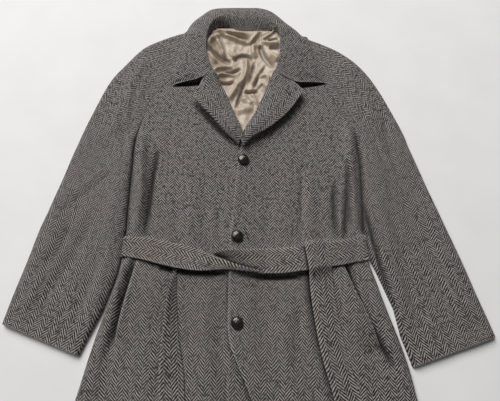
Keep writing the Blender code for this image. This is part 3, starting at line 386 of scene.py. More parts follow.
def spline(knots, values, at):
    """Smooth curve through the values at the rising knots, along their first axis."""
    knots = np.asarray(knots, dtype=float)
    values = np.asarray(values, dtype=float)
    at = np.asarray(at, dtype=float)
    spread = (slice(None),) + (None,) * (values.ndim - 1)
    slope = np.gradient(values, knots, axis=0)
    low = np.clip(np.searchsorted(knots, at) - 1, 0, len(knots) - 2)
    step = (knots[low + 1] - knots[low])[spread]
    t = (at - knots[low])[spread] / step
    return ((2 * t**3 - 3 * t**2 + 1) * values[low] + (t**3 - 2 * t**2 + t) * step * slope[low]
            + (3 * t**2 - 2 * t**3) * values[low + 1] + (t**3 - t**2) * step * slope[low + 1])


def resample(rows, count):
    """Every column of a row table at evenly spread places along the table."""
    keys = list(rows)
    old = np.arange(len(rows[keys[0]]))
    new = np.linspace(0.0, old[-1], count)
    return {key: spline(old, rows[key], new) for key in keys}


def line_x(line, y):
    return spline(line["y"], line["x"], y)


def front_seam(side, y):
    return line_x(SEAM[side], y)


def back_seam(side, y):
    """The side seam up to the armpit, and the back's raglan seam above it."""
    raglan = BACK_RAGLAN[side]
    pit = raglan["y"][0]
    return np.where(y <= pit, front_seam(side, np.minimum(y, pit)), line_x(raglan, np.maximum(y, pit)))


def shares(width, step):
    """Column places across a panel: close together at both edges, even between them."""
    near = RIM_COLUMNS * RIM / width
    inner = max(3, round((width - 2 * RIM) / step))
    middle = np.linspace(near[-1], 1.0 - near[-1], inner)
    return np.concatenate((near[:-1], middle, 1.0 - near[-2::-1]))


def span(first, second, share):
    """Plan points of rows that run from the first edge to the second."""
    return first[:, None, :] + (second - first)[:, None, :] * share[None, :, None]


def lay_out(first, second, share):
    """The same plan points, with the width of every row."""
    return span(first, second, share), np.hypot(*(second - first).T)


def across(first, second, share):
    """Heights that run from the first edge's to the second's."""
    return first[:, None] * (1.0 - share) + second[:, None] * share


def ramp(distance, length):
    """Rises evenly from 0 at an edge to 1 at the length."""
    return np.clip(distance / length, 0.0, 1.0)


def curl(distance, radius):
    """Rises from 0 at an edge to 1 at the radius, round like a rolled rim."""
    return np.sqrt(1.0 - (1.0 - ramp(distance, radius)) ** 2)


def plan_line(x, y):
    return np.stack((x, y), axis=1)


def edges(rows, *names):
    """Plan lines of the named edges of a row table."""
    return [plan_line(rows[name + "_x"], rows[name + "_y"]) for name in names]


def points(plan, z):
    return np.concatenate((plan, z[..., None]), axis=2)


def path_length(line):
    """Distance run along a line of points, from its start."""
    steps = np.linalg.norm(np.diff(line, axis=0), axis=1)
    return np.concatenate(((0.0,), np.cumsum(steps)))


def middle_run(plan):
    """Distance run along the middle column of a plan."""
    return path_length(plan[:, plan.shape[1] // 2])


def creases(name, plan, wide=1.0, highest=1.0):
    """Height of the ridges and troughs of a panel up to the highest; wide spreads them."""
    x, y = plan[..., 0], plan[..., 1]
    total = np.zeros(x.shape)
    turns = np.linspace(0.0, 1.0, CREASE_STEPS + 1)
    for x0, y0, x1, y1, x2, y2, left, right, rise in np.array(CREASES[name]) / PER_METRE:
        if rise > highest:
            continue
        bend_x, bend_y = 2 * x1 - (x0 + x2) / 2, 2 * y1 - (y0 + y2) / 2
        run_x = (1 - turns) ** 2 * x0 + 2 * turns * (1 - turns) * bend_x + turns**2 * x2
        run_y = (1 - turns) ** 2 * y0 + 2 * turns * (1 - turns) * bend_y + turns**2 * y2
        nearest = np.full(x.shape, np.inf)
        along = np.zeros(x.shape)
        for k in range(CREASE_STEPS):
            dx, dy = run_x[k + 1] - run_x[k], run_y[k + 1] - run_y[k]
            off_x, off_y = x - run_x[k], y - run_y[k]
            part = ramp(off_x * dx + off_y * dy, dx * dx + dy * dy)
            half = np.where(dx * off_y - dy * off_x > 0.0, left, right)
            away = np.hypot(off_x - part * dx, off_y - part * dy) / (half * wide)
            closer = away < nearest
            along = np.where(closer, (k + part) / CREASE_STEPS, along)
            nearest = np.where(closer, away, nearest)
        ridge = np.cos(ramp(nearest, 1.0) * math.pi / 2) ** 2
        total += rise * ridge * (1.0 - np.abs(2.0 * along - 1.0) ** 4)
    return total


def hollows(name, plan):
    """Painted shade: how far each point's colour is darkened for lying in a deep trough."""
    return ramp(-creases(name, plan, highest=HOLLOW_LEAST), HOLLOW_FULL)


def seam_painted_shade(y, from_seam):
    """Painted shade: how far each point's colour is darkened where a sleeve meets the side."""
    inside = np.minimum(y - SEAM_ENDS[0], SEAM_ENDS[1] - y)[:, None]
    return SEAM_PAINTED_SHADE * ramp(inside, SEAM_FADE) * (1.0 - ramp(from_seam, SEAM_SHADE_WIDTH))


def ripple(name, plan):
    size, depth, seed = RIPPLES[name]
    flat = plan.reshape(-1, 2) / size
    waves = [noise.noise(Vector((px, py, seed))) for px, py in flat]
    return depth * np.array(waves).reshape(plan.shape[:2])


def sweep(field, reach, pick):
    """A running pick over the neighbours of every point."""
    for axis in (0, 1):
        margin = [(0, 0), (0, 0)]
        margin[axis] = (reach, reach)
        padded = np.pad(field, margin, mode="edge")
        windows = np.lib.stride_tricks.sliding_window_view(padded, 2 * reach + 1, axis=axis)
        field = pick(windows, axis=-1)
    return field


def heights(plan):
    """Top of everything placed so far, 0 where the floor is bare."""
    flat = plan.reshape(-1, 2)
    top = np.zeros(len(flat))
    for tree, low, high in TREES:
        inside = np.flatnonzero(((flat >= low) & (flat <= high)).all(axis=1))
        for place in inside:
            hit = tree.ray_cast(Vector((flat[place, 0], flat[place, 1], 1.0)), DOWN)[0]
            if hit is not None and hit.z > top[place]:
                top[place] = hit.z
    return top.reshape(plan.shape[:2])


def line_heights(line):
    """Top of everything placed so far along a line of points."""
    return heights(line[:, None, :])[:, 0]


def over(below):
    """Height just clear of what is below, or of the bare floor."""
    return np.where(below > 0.0, below + GAP, 0.0)


def settle(plan, lift, reach=2):
    """Underside of a sheet that keeps its lift and rises softly over what it lies on."""
    lack = np.clip(over(heights(plan)) - lift, 0.0, None)
    return lift + sweep(sweep(lack, reach, np.max), reach, np.mean)


def lowest(plan, reach=2):
    """Underside of a sheet without lift."""
    return settle(plan, np.zeros(plan.shape[:2]), reach)


def weave_places(plan, turned=False):
    """Place of every point in the cloth's own weave: across it and along its middle line."""
    steps = np.linalg.norm(np.diff(plan, axis=1), axis=2)
    sideways = np.concatenate((np.zeros((len(plan), 1)), np.cumsum(steps, axis=1)), axis=1)
    sideways -= sideways[:, -1:] / 2
    along = np.repeat(middle_run(plan)[:, None], plan.shape[1], axis=1)
    return np.stack((along, sideways) if turned else (sideways, along), axis=2)


def from_edges(share, width):
    """How far every point is from the first side edge, and from the second."""
    return share[None, :] * width[:, None], (1.0 - share)[None, :] * width[:, None]


def edge_away(share, width, ends=None):
    """How far every point is from the nearer side edge, and from an end row when its distance is given."""
    edge = np.minimum(*from_edges(share, width))
    if ends is not None:
        edge = np.minimum(edge, ends[:, None])
    return edge


def wall(edge, full):
    """Thickness at a distance from the edge: thin at the edge itself."""
    return RIM_WALL + (full - RIM_WALL) * curl(edge, RIM)


def set_map(mesh, name, places):
    """A map that gives every corner its point's place."""
    corner_of = np.zeros(len(mesh.loops), dtype=np.int32)
    mesh.loops.foreach_get("vertex_index", corner_of)
    both = np.concatenate((places.reshape(-1, 2), places.reshape(-1, 2)))
    mesh.uv_layers.new(name=name).data.foreach_set("uv", both[corner_of].astype(np.float32).ravel())


def finish_piece(piece, node, material):
    piece.data.materials.append(material)
    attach(piece, "root")
    if node:
        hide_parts(node)


def link(name, data):
    thing = bpy.data.objects.new(name, data)
    bpy.context.collection.objects.link(thing)
    return thing


def cloth(node, upper, lower, weave, rim_away, material, slot="wool", hollow=0.0):
    """One closed wall between two grids of points, with how far its free edge is, which sets its painted
    highlight, and how much painted shade its colour gets.
    """
    rows, columns = upper.shape[:2]
    count = rows * columns
    index = np.arange(count).reshape(rows, columns)
    a, b, c, d = index[:-1, :-1], index[:-1, 1:], index[1:, 1:], index[1:, :-1]
    top = np.stack((a, b, c, d), axis=2).reshape(-1, 4)
    bottom = np.stack((a, d, c, b), axis=2).reshape(-1, 4) + count
    rim = np.concatenate((index[0], index[1:, -1], index[-1, -2::-1], index[-2:0:-1, 0]))
    after = np.roll(rim, -1)
    side = np.stack((rim, rim + count, after + count, after), axis=1)
    corners = np.concatenate((upper.reshape(-1, 3), lower.reshape(-1, 3)))
    mesh = bpy.data.meshes.new(node + "_cloth")
    mesh.from_pydata(corners.tolist(), [], np.concatenate((top, bottom, side)).tolist())
    work = bmesh.new()
    work.from_mesh(mesh)
    bmesh.ops.recalc_face_normals(work, faces=work.faces)
    TREES.append((BVHTree.FromBMesh(work), corners[:, :2].min(axis=0), corners[:, :2].max(axis=0)))
    work.to_mesh(mesh)
    work.free()
    mesh.shade_smooth()
    mesh.set_sharp_from_angle(angle=math.radians(SHARP))
    set_map(mesh, "weave", weave)
    # the rim map carries the distance to the free edge for the painted highlight, and the painted shade
    marks = [np.broadcast_to(mark, (rows, columns)) for mark in (rim_away, hollow)]
    set_map(mesh, "rim", np.stack(marks, axis=2))
    SHEETS[node] = link(node + "_cloth", mesh)
    finish_piece(SHEETS[node], node, material)


def laid(node, plan, under, thick, *others, **more):
    """A piece of cloth that is thick upwards from its underside."""
    cloth(node, points(plan, under + thick), points(plan, under), *others, **more)


def set_values(node, **values):
    """Constant inputs of a node, by their labels with an underscore for each space."""
    for label, value in values.items():
        node.inputs[label.replace("_", " ")].default_value = value


class Nodes:
    """Short calls for building a node tree."""

    def __init__(self, tree):
        self.tree = tree

    def add(self, kind, **settings):
        node = self.tree.nodes.new(kind)
        for key, value in settings.items():
            setattr(node, key, value)
        return node

    def feed(self, socket, value):
        if isinstance(value, bpy.types.NodeSocket):
            self.tree.links.new(value, socket)
        else:
            socket.default_value = value

    def map_place(self, name):
        return self.add("ShaderNodeUVMap", uv_map=name).outputs[0]

    def parts(self, vector):
        node = self.add("ShaderNodeSeparateXYZ")
        self.feed(node.inputs[0], vector)
        return node.outputs

    def math(self, operation, *values, clamp=False):
        node = self.add("ShaderNodeMath", operation=operation, use_clamp=clamp)
        for socket, value in zip(node.inputs, values):
            self.feed(socket, value)
        return node.outputs[0]

    def noise(self, vector, scale, detail=2.0):
        node = self.add("ShaderNodeTexNoise")
        self.feed(node.inputs["Vector"], vector)
        set_values(node, Scale=scale, Detail=detail, Roughness=0.5)
        return node.outputs["Fac"]

    def mix(self, factor, first, second):
        node = self.add("ShaderNodeMix", data_type="RGBA")
        for place, value in ((0, factor), (6, first), (7, second)):
            self.feed(node.inputs[place], value)
        return node.outputs[2]

    def span(self, value, low, high, to_low=0.0, to_high=1.0):
        node = self.add("ShaderNodeMapRange")
        for socket, number in zip(node.inputs, (value, low, high, to_low, to_high)):
            self.feed(socket, number)
        return node.outputs[0]

    def tint(self, value, low, high, colours):
        """A colour that runs from the first to the second as the value goes from low to high."""
        first, second = colours
        return self.mix(self.span(value, low, high), (*first, 1.0), (*second, 1.0))


def group(name, inputs, outputs):
    """An empty node group with its sockets, and its input and output nodes."""
    tree = bpy.data.node_groups.new(name, "ShaderNodeTree")
    for way, sockets in (("INPUT", inputs), ("OUTPUT", outputs)):
        for label, kind in sockets:
            tree.interface.new_socket(label, in_out=way, socket_type="NodeSocket" + kind)
    nodes = Nodes(tree)
    return nodes, nodes.add("NodeGroupInput").outputs, nodes.add("NodeGroupOutput").inputs


def herringbone_group():
    """Twill that turns from column to column, of pale and dark yarns with uneven flecks, with a painted
    highlight along free edges and painted shade in deep troughs and beside the side seams.
    """
    nodes, given, made = group(
        "herringbone",
        (("Place", "Vector"), ("Column", "Float"), ("Pitch", "Float"), ("Lean", "Float"), ("Rim", "Float"),
         ("Painted Shade", "Float"), ("Dark", "Color"), ("Pale", "Color"), ("Fleck", "Color")),
        (("Color", "Color"), ("Height", "Float")))
    place = given["Place"]
    x, y = nodes.parts(place)[:2]
    wander = nodes.span(nodes.noise(place, 45.0), 0.0, 1.0, -0.0022, 0.0022)
    drift = nodes.span(nodes.noise(place, 60.0), 0.0, 1.0, -0.0020, 0.0020)
    column = nodes.math("DIVIDE", nodes.math("ADD", x, wander), given["Column"])
    zigzag = nodes.math("PINGPONG", column, 1.0)
    odd = nodes.math("MODULO", nodes.math("FLOOR", column), 2.0)
    lean = nodes.math("DIVIDE", nodes.math("MULTIPLY", zigzag, given["Column"]), given["Lean"])
    rows = nodes.math("DIVIDE", nodes.math("ADD", y, drift), given["Pitch"])
    phase = nodes.math("ADD", nodes.math("ADD", rows, lean), nodes.math("MULTIPLY", odd, 0.5))
    wave = nodes.math("SINE", nodes.math("MULTIPLY", phase, 2.0 * math.pi))
    stripe = nodes.span(wave, -0.4, 0.4, -1.0, 1.0)
    tuft = nodes.span(nodes.noise(place, 165.0, 1.0), 0.36, 0.64, -0.40, 0.40)
    cloud = nodes.span(nodes.noise(place, 38.0), 0.3, 0.7, -0.08, 0.08)
    # painted highlight: free edges are made paler and their twill clearer, as edges that catch the light
    edge_highlight = nodes.span(given["Rim"], 0.0, RIM_HIGHLIGHT, 1.0, 0.0)
    clear = nodes.span(nodes.noise(place, 90.0), 0.35, 0.65, 0.50, 0.92)
    depth = nodes.math("MAXIMUM", clear, nodes.math("MULTIPLY", edge_highlight, 0.90))
    tone = nodes.math("ADD", nodes.math("MULTIPLY", stripe, depth), tuft)
    tone = nodes.math("ADD", tone, cloud)
    tone = nodes.math("ADD", tone, nodes.math("MULTIPLY", edge_highlight, 0.60))
    tone = nodes.math("ADD", tone, 0.16, clamp=True)
    yarn = nodes.mix(tone, given["Dark"], given["Pale"])
    speck = nodes.span(nodes.noise(place, 420.0, 1.0), 0.60, 0.70)
    yarn = nodes.mix(nodes.math("MULTIPLY", speck, 0.45), yarn, given["Fleck"])
    # painted shade: the yarn's colour is mixed towards the dark yarn in deep troughs and beside the side
    # seams
    shade = nodes.math("MULTIPLY", given["Painted Shade"], TROUGH_PAINTED_SHADE)
    nodes.feed(made["Color"], nodes.mix(shade, yarn, given["Dark"]))
    nodes.feed(made["Height"], tone)
    return nodes.tree


def new_material(name):
    made = bpy.data.materials.new(name)
    made.use_nodes = True
    return made, Nodes(made.node_tree), made.node_tree.nodes["Principled BSDF"]


def solid_material(name):
    """A material whose patterns lie in the piece's own space."""
    made, nodes, shader = new_material(name)
    return made, nodes, shader, nodes.add("ShaderNodeTexCoord").outputs["Object"]


def add_bump(nodes, shader, height, strength, distance):
    bump = nodes.add("ShaderNodeBump")
    set_values(bump, Strength=strength, Distance=distance)
    nodes.feed(bump.inputs["Height"], height)
    nodes.feed(shader.inputs["Normal"], bump.outputs[0])


def wool_material(name, pattern, dark, pale, coarse):
    made, nodes, shader = new_material(name)
    twill = nodes.add("ShaderNodeGroup", node_tree=pattern)
    nodes.feed(twill.inputs["Place"], nodes.map_place("weave"))
    for label, value in zip(("Rim", "Painted Shade"), nodes.parts(nodes.map_place("rim"))):
        nodes.feed(twill.inputs[label], value)
    set_values(twill, Column=WEAVE_COLUMN * coarse, Pitch=WEAVE_PITCH * coarse, Lean=WEAVE_LEAN * coarse,
               Dark=(*dark, 1.0), Pale=(*pale, 1.0), Fleck=(*FLECK, 1.0))
    nodes.feed(shader.inputs["Base Color"], twill.outputs["Color"])
    set_values(shader, Roughness=0.92, Specular_IOR_Level=0.18, Sheen_Weight=0.12, Sheen_Roughness=0.55)
    add_bump(nodes, shader, twill.outputs["Height"], 0.25, 0.0009)
    return made


def satin_material():
    made, nodes, shader = new_material("satin")
    place = nodes.map_place("weave")
    stretch = nodes.add("ShaderNodeMapping")
    set_values(stretch, Scale=SATIN_THREAD)
    nodes.feed(stretch.inputs["Vector"], place)
    thread = nodes.noise(stretch.outputs[0], 1.0)
    cloud = nodes.noise(place, 30.0, 3.0)
    tone = nodes.math("ADD", nodes.math("MULTIPLY", thread, 0.35), nodes.math("MULTIPLY", cloud, 0.65))
    gloss = nodes.tint(tone, 0.3, 0.7, SATIN_COLOURS)
    # painted shade: the satin's colour is darkened towards a deep brown in its troughs
    shade = nodes.math("MULTIPLY", nodes.parts(nodes.map_place("rim"))[1], SATIN_PAINTED_SHADE)
    nodes.feed(shader.inputs["Base Color"], nodes.mix(shade, gloss, (*SATIN_SHADE_COLOUR, 1.0)))
    nodes.feed(shader.inputs["Roughness"], nodes.span(cloud, 0.3, 0.7, 0.36, 0.46))
    set_values(shader, Specular_IOR_Level=0.60, Sheen_Weight=0.10)
    add_bump(nodes, shader, thread, 0.15, 0.0003)
    return made


def thread_material():
    made, nodes, shader, place = solid_material("buttonhole_thread")
    strand = nodes.noise(place, 1400.0, 1.0)
    nodes.feed(shader.inputs["Base Color"], nodes.tint(strand, 0.35, 0.65, THREAD_COLOURS))
    set_values(shader, Roughness=0.80)
    return made


def leather_material():
    made, nodes, shader, place = solid_material("button_leather")
    wear = nodes.noise(place, 160.0)
    nodes.feed(shader.inputs["Base Color"], nodes.tint(wear, 0.35, 0.7, LEATHER_COLOURS))
    nodes.feed(shader.inputs["Roughness"], nodes.span(wear, 0.3, 0.7, 0.20, 0.32))
    set_values(shader, Specular_IOR_Level=0.25, Coat_Weight=0.85, Coat_Roughness=0.14)
    add_bump(nodes, shader, nodes.noise(place, 900.0, 4.0), 0.25, 0.0003)
    return made


def floor_material():
    made, nodes, shader, place = solid_material("pale_floor")
    shade = nodes.noise(place, 9.0, 3.0)
    nodes.feed(shader.inputs["Base Color"], nodes.tint(shade, 0.3, 0.7, FLOOR_COLOURS))
    set_values(shader, Roughness=0.95)
    return made


def build_belt_back(material):
    rows = resample(BELT_BACK, ROWS["belt_back"])
    share = shares(*COLUMNS["belt_back"])
    plan, width = lay_out(plan_line(rows["x"], rows["low_y"]), plan_line(rows["x"], rows["top_y"]), share)
    away = edge_away(share, width)
    under = np.zeros(plan.shape[:2])
    laid("belt_back", plan, under, wall(away, BELT_CLOTH), weave_places(plan), away, material)


def build_back(material):
    y = np.linspace(*BACK_ENDS, ROWS["back"])
    sides = [plan_line(back_seam(side, y) - out * BACK_INSET, y) for side, out in OUTWARD.items()]
    share = shares(*COLUMNS["back"])
    plan, width = lay_out(*sides, share)
    low, high = BELT_BACK["low_y"].min(), BELT_BACK["top_y"].max()
    outside = np.maximum(np.maximum(low - y, y - high) - BELT_BUMP_FLAT, 0.0)
    bump = (BELT_CLOTH + GAP) * (1.0 - ramp(outside, BELT_BUMP))
    grown = curl(edge_away(share, width) - BACK_CALM, BACK_BLEND)
    under = bump[:, None] + creases("back", plan) * grown
    thick = wall(edge_away(share, width, np.minimum(y - y[0], y[-1] - y)), CLOTH)
    laid("back", plan, under, thick, plan, (y - y[0])[:, None], material)


def sleeve_edges(side, seam, key, y):
    """Outer and inner edge of a sleeve half for the rows that end at y on the inner side."""
    rows = SLEEVE[side]
    knots = rows[key][::-1]
    outer = np.stack([spline(knots, rows[name][::-1], y) for name in ("outer_x", "outer_y")], axis=1)
    clear = np.interp(y, knots, rows["clear"][::-1])
    return outer, plan_line(seam(side, y) + OUTWARD[side] * clear, y)


def sleeve_rows(side, seam, key, step):
    """Inner ends of sleeve rows that are evenly spaced along the sleeve's middle."""
    rows = SLEEVE[side]
    y = np.linspace(rows[key][0], rows[key][-1], SLEEVE_TRIES)
    outer, inner = sleeve_edges(side, seam, key, y)
    run = path_length((outer + inner) / 2)
    return np.interp(np.linspace(0.0, run[-1], round(run[-1] / step)), run, y)


def build_sleeve_back(side, material):
    y = sleeve_rows(side, back_seam, "back_y", SLEEVE_BACK_STEP)
    outer, inner = sleeve_edges(side, back_seam, "back_y", y)
    outer[:, 0] -= OUTWARD[side] * BACK_INSET
    share = shares(*COLUMNS["sleeve_back"])
    plan, width = lay_out(outer, inner, share)
    run = middle_run(plan)
    under = np.zeros(plan.shape[:2])
    thick = wall(edge_away(share, width), CLOTH)
    laid("sleeve_back_" + side, plan, under, thick, weave_places(plan), (run[-1] - run)[:, None], material)


def build_sleeve_front(side, material):
    y = sleeve_rows(side, front_seam, "inner_y", CLOTH_STEP)
    outer, inner = sleeve_edges(side, front_seam, "inner_y", y)
    share = shares(*COLUMNS["sleeve_front"])
    plan, width = lay_out(outer, inner, share)
    from_outer, from_inner = from_edges(share, width)
    below_pit = ramp(SLEEVE[side]["inner_y"][SLEEVE_PIT] - y, PIT_BLEND)[:, None]
    roll = curl(from_outer, SIDE_ROLL) * (1.0 - below_pit * (1.0 - curl(from_inner, SIDE_ROLL)))
    name = "sleeve_" + side
    waves = creases(name, plan) + ripple(name, plan)
    under = settle(plan, CLOTH + GAP + (AIR + waves) * roll)
    run = middle_run(plan)
    thick = wall(edge_away(share, width, run[-1] - run), CLOTH)
    # painted shade in the deep troughs and along the side seam
    dark = np.maximum(hollows(name, plan), seam_painted_shade(y, from_inner))
    laid("sleeve_front_" + side, plan, under, thick, weave_places(plan), (run[-1] - run)[:, None], material,
         hollow=dark)


def lap_lift(y):
    """How far the lap's edge is off the front below."""
    return spline(EDGE_LIFT["y"], EDGE_LIFT["lift"], y)


def build_front(side, material):
    node = "front_" + side
    y = np.linspace(*FRONT_ENDS, round((FRONT_ENDS[1] - FRONT_ENDS[0]) / CLOTH_STEP))
    share = shares(*COLUMNS["front"])
    plan, width = lay_out(plan_line(front_seam(side, y), y), plan_line(line_x(EDGE[side], y), y), share)
    from_side, from_edge = from_edges(share, width)
    above_pit = ramp(y - SEAM[side]["y"][SEAM_PIT], PIT_BLEND)[:, None]
    roll = curl(from_side, SIDE_ROLL) * (1.0 - above_pit) + above_pit
    from_hem = y - y[0]
    waves = creases(node, plan) + ripple("front", plan)
    puff = np.clip(AIR + waves, 0.0, None) * roll * curl(from_hem, HEM_ROLL)[:, None]
    under = settle(plan, CLOTH + GAP + puff)
    weave = plan
    if side == LAP_SIDE:
        under += lap_lift(y)[:, None] * (1.0 - ramp(from_edge, EDGE_TURN)) ** 2
        weave = plan + LAP_SHIFT
    thick = wall(edge_away(share, width, from_hem), CLOTH)
    # painted shade in the deep troughs and along the side seam
    dark = np.maximum(hollows(node, plan), seam_painted_shade(y, from_side))
    laid(node, plan, under, thick, weave, np.minimum(from_edge, from_hem[:, None]), material, hollow=dark)


def build_lining(material):
    rows = resample(LINING, round((LINING["y"][-1] - LINING["y"][0]) / SATIN_STEP))
    share = np.linspace(0.0, 1.0, round(LINING_WIDTH / SATIN_STEP))
    plan, width = lay_out(plan_line(rows["left"], rows["y"]), plan_line(rows["right"], rows["y"]), share)
    edge = edge_away(share, width)
    y = plan[..., 1]
    from_neck = y[-1, 0] - y
    calm = ramp(np.minimum(edge, np.minimum(y - y[0, 0], from_neck)) - LINING_CALM, LINING_BLEND)
    high = ramp(y - LINING_LOW, LINING_RISE)
    beside = LINING_SIDE * high * (1.0 - ramp(edge, LINING_CLIMB)) ** LINING_CURVE
    neck = LINING_NECK * (1.0 - ramp(from_neck, LINING_CLIMB)) ** LINING_CURVE
    climb = np.maximum(beside * ramp(from_neck, LINING_EASE), neck)
    waves = LINING_AIR + LINING_DEPTH * creases("lining", plan, LINING_WIDE)
    waves += ripple("lining", plan) + ripple("satin", plan)
    under = settle(plan, CLOTH + GAP + climb + np.clip(waves, 0.0, None) * calm, 1)
    # painted shade in the lining's troughs
    dark = (1.0 - ramp(waves, LINING_AIR)) * calm
    laid("lining", plan, under, SATIN, plan, edge, material, slot="satin", hollow=dark)


def build_lapel(side, material):
    """A turned-back lapel: its fold rolls down to the lining, its free edge stands off the front."""
    node = "lapel_" + side
    rows = resample(LAPEL[side], ROWS[node])
    first, second = edges(rows, "roll", "edge")
    share = shares(*COLUMNS["lapel"])
    flat, width = lay_out(first, second, share)
    roll = span(first, first - (second - first) / width[:, None] * LAPEL_ROLL, LAPEL_TURNS)
    lift = rows["lift"][:, None] * (share**LAPEL_CURVE + LAPEL_BOW * np.sin(share * math.pi))
    step = GORGE_STEP * ramp(path_length(first), GORGE_RUN)[:, None]
    under = settle(flat, lowest(flat) + lift + step)
    edge = from_edges(share, width)[1]
    top = under + wall(edge, CLOTH)
    base = lowest(roll)
    turned = base + RIM_WALL + (top[:, :1] - base - RIM_WALL) * np.sqrt(1.0 - LAPEL_TURNS**2)
    low = np.maximum(base, turned - CLOTH)
    plan = np.concatenate((roll, flat), axis=1)
    upper = np.concatenate((np.maximum(turned, low + RIM_WALL), top), axis=1)
    lower = np.concatenate((low, under), axis=1)
    free = np.minimum(edge, (path_length(second) - LAPEL_TOP)[:, None])
    away = np.abs(np.concatenate((np.ones(roll.shape[:2]), free), axis=1))
    cloth(node, points(plan, upper), points(plan, lower), weave_places(plan), away, material)


def collar_lines(rows, crest, edge, ends):
    """Lines along the collar from the stand's foot over the fold to the free edge, on both of its sides."""
    out = edge - crest
    reach = np.hypot(*out.T)
    way = out / reach[:, None]
    foot = crest - way * rows["lean"][:, None]
    base = span(foot, foot + way * COLLAR_CLOTH, np.linspace(0.0, 1.0, 4))
    foot_z = lowest(base).max(axis=1)
    edge_z = over(line_heights(edge)) + rows["lift"] + RIM_WALL
    crest_z = rows["crest_z"]
    full = wall(ends, COLLAR_CLOTH)
    upper, lower = [], []
    for share, rise in zip(*STAND.values()):
        plan = foot + (crest - foot) * share
        z = foot_z + (crest_z - foot_z) * rise
        upper.append(np.column_stack((plan, z)))
        inside = plan + way * full[:, None] * (1.0 - STAND_LEAN * share)
        lower.append(np.column_stack((inside, z - full * STAND_DROP * share)))
    for share, fall, bend in zip(*FALL.values()):
        plan = crest + out * share
        plan[:, 1] += rows["sag"] * bend
        z = edge_z + (crest_z - edge_z) * fall
        thick = wall(np.minimum((1.0 - share) * reach, ends), COLLAR_CLOTH)
        upper.append(np.column_stack((plan, z)))
        lower.append(np.column_stack((plan + way * full[:, None] * FALL_SET * fall, z - thick)))
    return np.stack(upper), np.stack(lower), reach


def build_collar(material):
    rows = resample(COLLAR, ROWS["collar"])
    crest, edge = edges(rows, "crest", "edge")
    run = path_length(edge)
    ends = np.minimum(run, run[-1] - run)
    upper, lower, reach = collar_lines(rows, crest, edge, ends)
    knots = np.arange(len(upper))
    last = knots[-1]
    fold = len(STAND["out"])
    fine = np.concatenate((np.linspace(0.0, last - COLLAR_EDGE, COLLAR_LINES[0]),
                           np.linspace(last - COLLAR_CLOSE, last, COLLAR_LINES[1])))
    upper = spline(knots, upper, fine).swapaxes(0, 1)
    lower = spline(knots, lower, fine).swapaxes(0, 1)
    upper[..., 2] += ripple("collar", upper[..., :2]) * ramp(fine - fold, COLLAR_CALM)
    under = settle(lower[..., :2], np.maximum(lower[..., 2], 0.0), 1)
    joined = ramp(ends, GORGE_BLEND)[:, None] ** GORGE_CURVE
    from_crest = np.linalg.norm(lower[..., :2] - crest[:, None, :], axis=2)
    covered = np.where(run < run[-1] / 2, *GORGE_LENGTHS)[:, None]
    sewn = ramp(covered - from_crest, GORGE_EASE) * (1.0 - joined)
    under += (lowest(lower[..., :2], 1) - under) * sewn
    upper[..., 2] = under + np.maximum((upper[..., 2] - lower[..., 2]) * joined, COLLAR_LEAST)
    lower[..., 2] = under
    inward = 1.0 - ramp(fine - fold - 1.0, last - fold - 1.0)[None, :]
    away = np.minimum(inward * reach[:, None], ends[:, None] + inward)
    cloth("collar", upper, lower, weave_places(upper, True), away, material)


def build_welt(side, material):
    rows = resample(WELT[side], ROWS["welt"])
    first, second = edges(rows, "mouth", "inner")
    share = shares(*COLUMNS["welt"])
    plan, width = lay_out(first, second, share)
    along = np.linspace(0.0, math.pi, len(first))
    mouth = WELT_MOUTH * np.sin(along)[:, None] * (1.0 - share) ** MOUTH_CURVE
    under = sweep(heights(plan), 1, np.max) + GAP + mouth
    run = path_length(first)
    from_mouth, from_inner = from_edges(share, width)
    inside = np.minimum(from_inner, np.minimum(run, run[-1] - run)[:, None])
    thick = wall(from_mouth, WELT_CLOTH) * ramp(inside, WELT_FADE) ** WELT_CURVE + WELT_LEAST
    laid("pocket_welt_" + side, plan, under, thick, plan, from_mouth, material)


def build_strand(side, material):
    """Belt across the front, from where it turns round the side seam to its tucked end."""
    node, out = "belt_" + side, OUTWARD[side]
    rows = resample(BELT[side], ROWS["strand"])
    share = shares(*COLUMNS["belt"])
    flat, width = lay_out(*edges(rows, "low", "top"), share)
    turn_y = flat[0, :, 1]
    turn_x = front_seam(side, turn_y) + out * BELT_WRAP
    plan = np.concatenate((plan_line(turn_x, turn_y)[None], flat))
    level = across(rows["low_lift"], rows["top_lift"], share)
    level = np.concatenate((np.full((1, len(share)), WRAP_TOP), level))
    waves = creases(node, plan) + ripple("belt", plan)
    under = settle(plan, np.maximum(lowest(plan), level + waves))
    away = edge_away(share, np.concatenate(((BELT_WIDTH,), width)))
    upper, lower = points(plan, under + wall(away, BELT_CLOTH)), points(plan, under)
    upper[0, :, 0] += out * BELT_CLOTH * BELT_TURN
    drop = [np.full(len(share), z) for z in WRAP_STEPS]
    outside = [np.stack((turn_x + out * BELT_CLOTH, turn_y, z), axis=1) for z in drop]
    inside = [np.stack((turn_x, turn_y, z), axis=1) for z in drop]
    upper = np.concatenate((np.stack(outside), upper))
    lower = np.concatenate((np.stack(inside), lower))
    away = np.concatenate((np.repeat(away[:1], len(drop), axis=0), away))
    # painted shade in the belt's deep troughs
    dark = np.concatenate((np.zeros((len(drop), len(share))), hollows(node, plan)))
    cloth(node, upper, lower, weave_places(upper), away, material, hollow=dark)


def build_tail(side, material):
    rows = resample(TAIL[side], ROWS["tail"])
    share = shares(*COLUMNS["belt"])
    plan, width = lay_out(*edges(rows, "left", "right"), share)
    under = settle(plan, lowest(plan) + across(rows["left_lift"], rows["right_lift"], share))
    run = middle_run(plan)
    away = edge_away(share, width, run[-1] - run)
    laid("belt_tail_" + side, plan, under, wall(away, BELT_CLOTH), weave_places(plan), away, material)


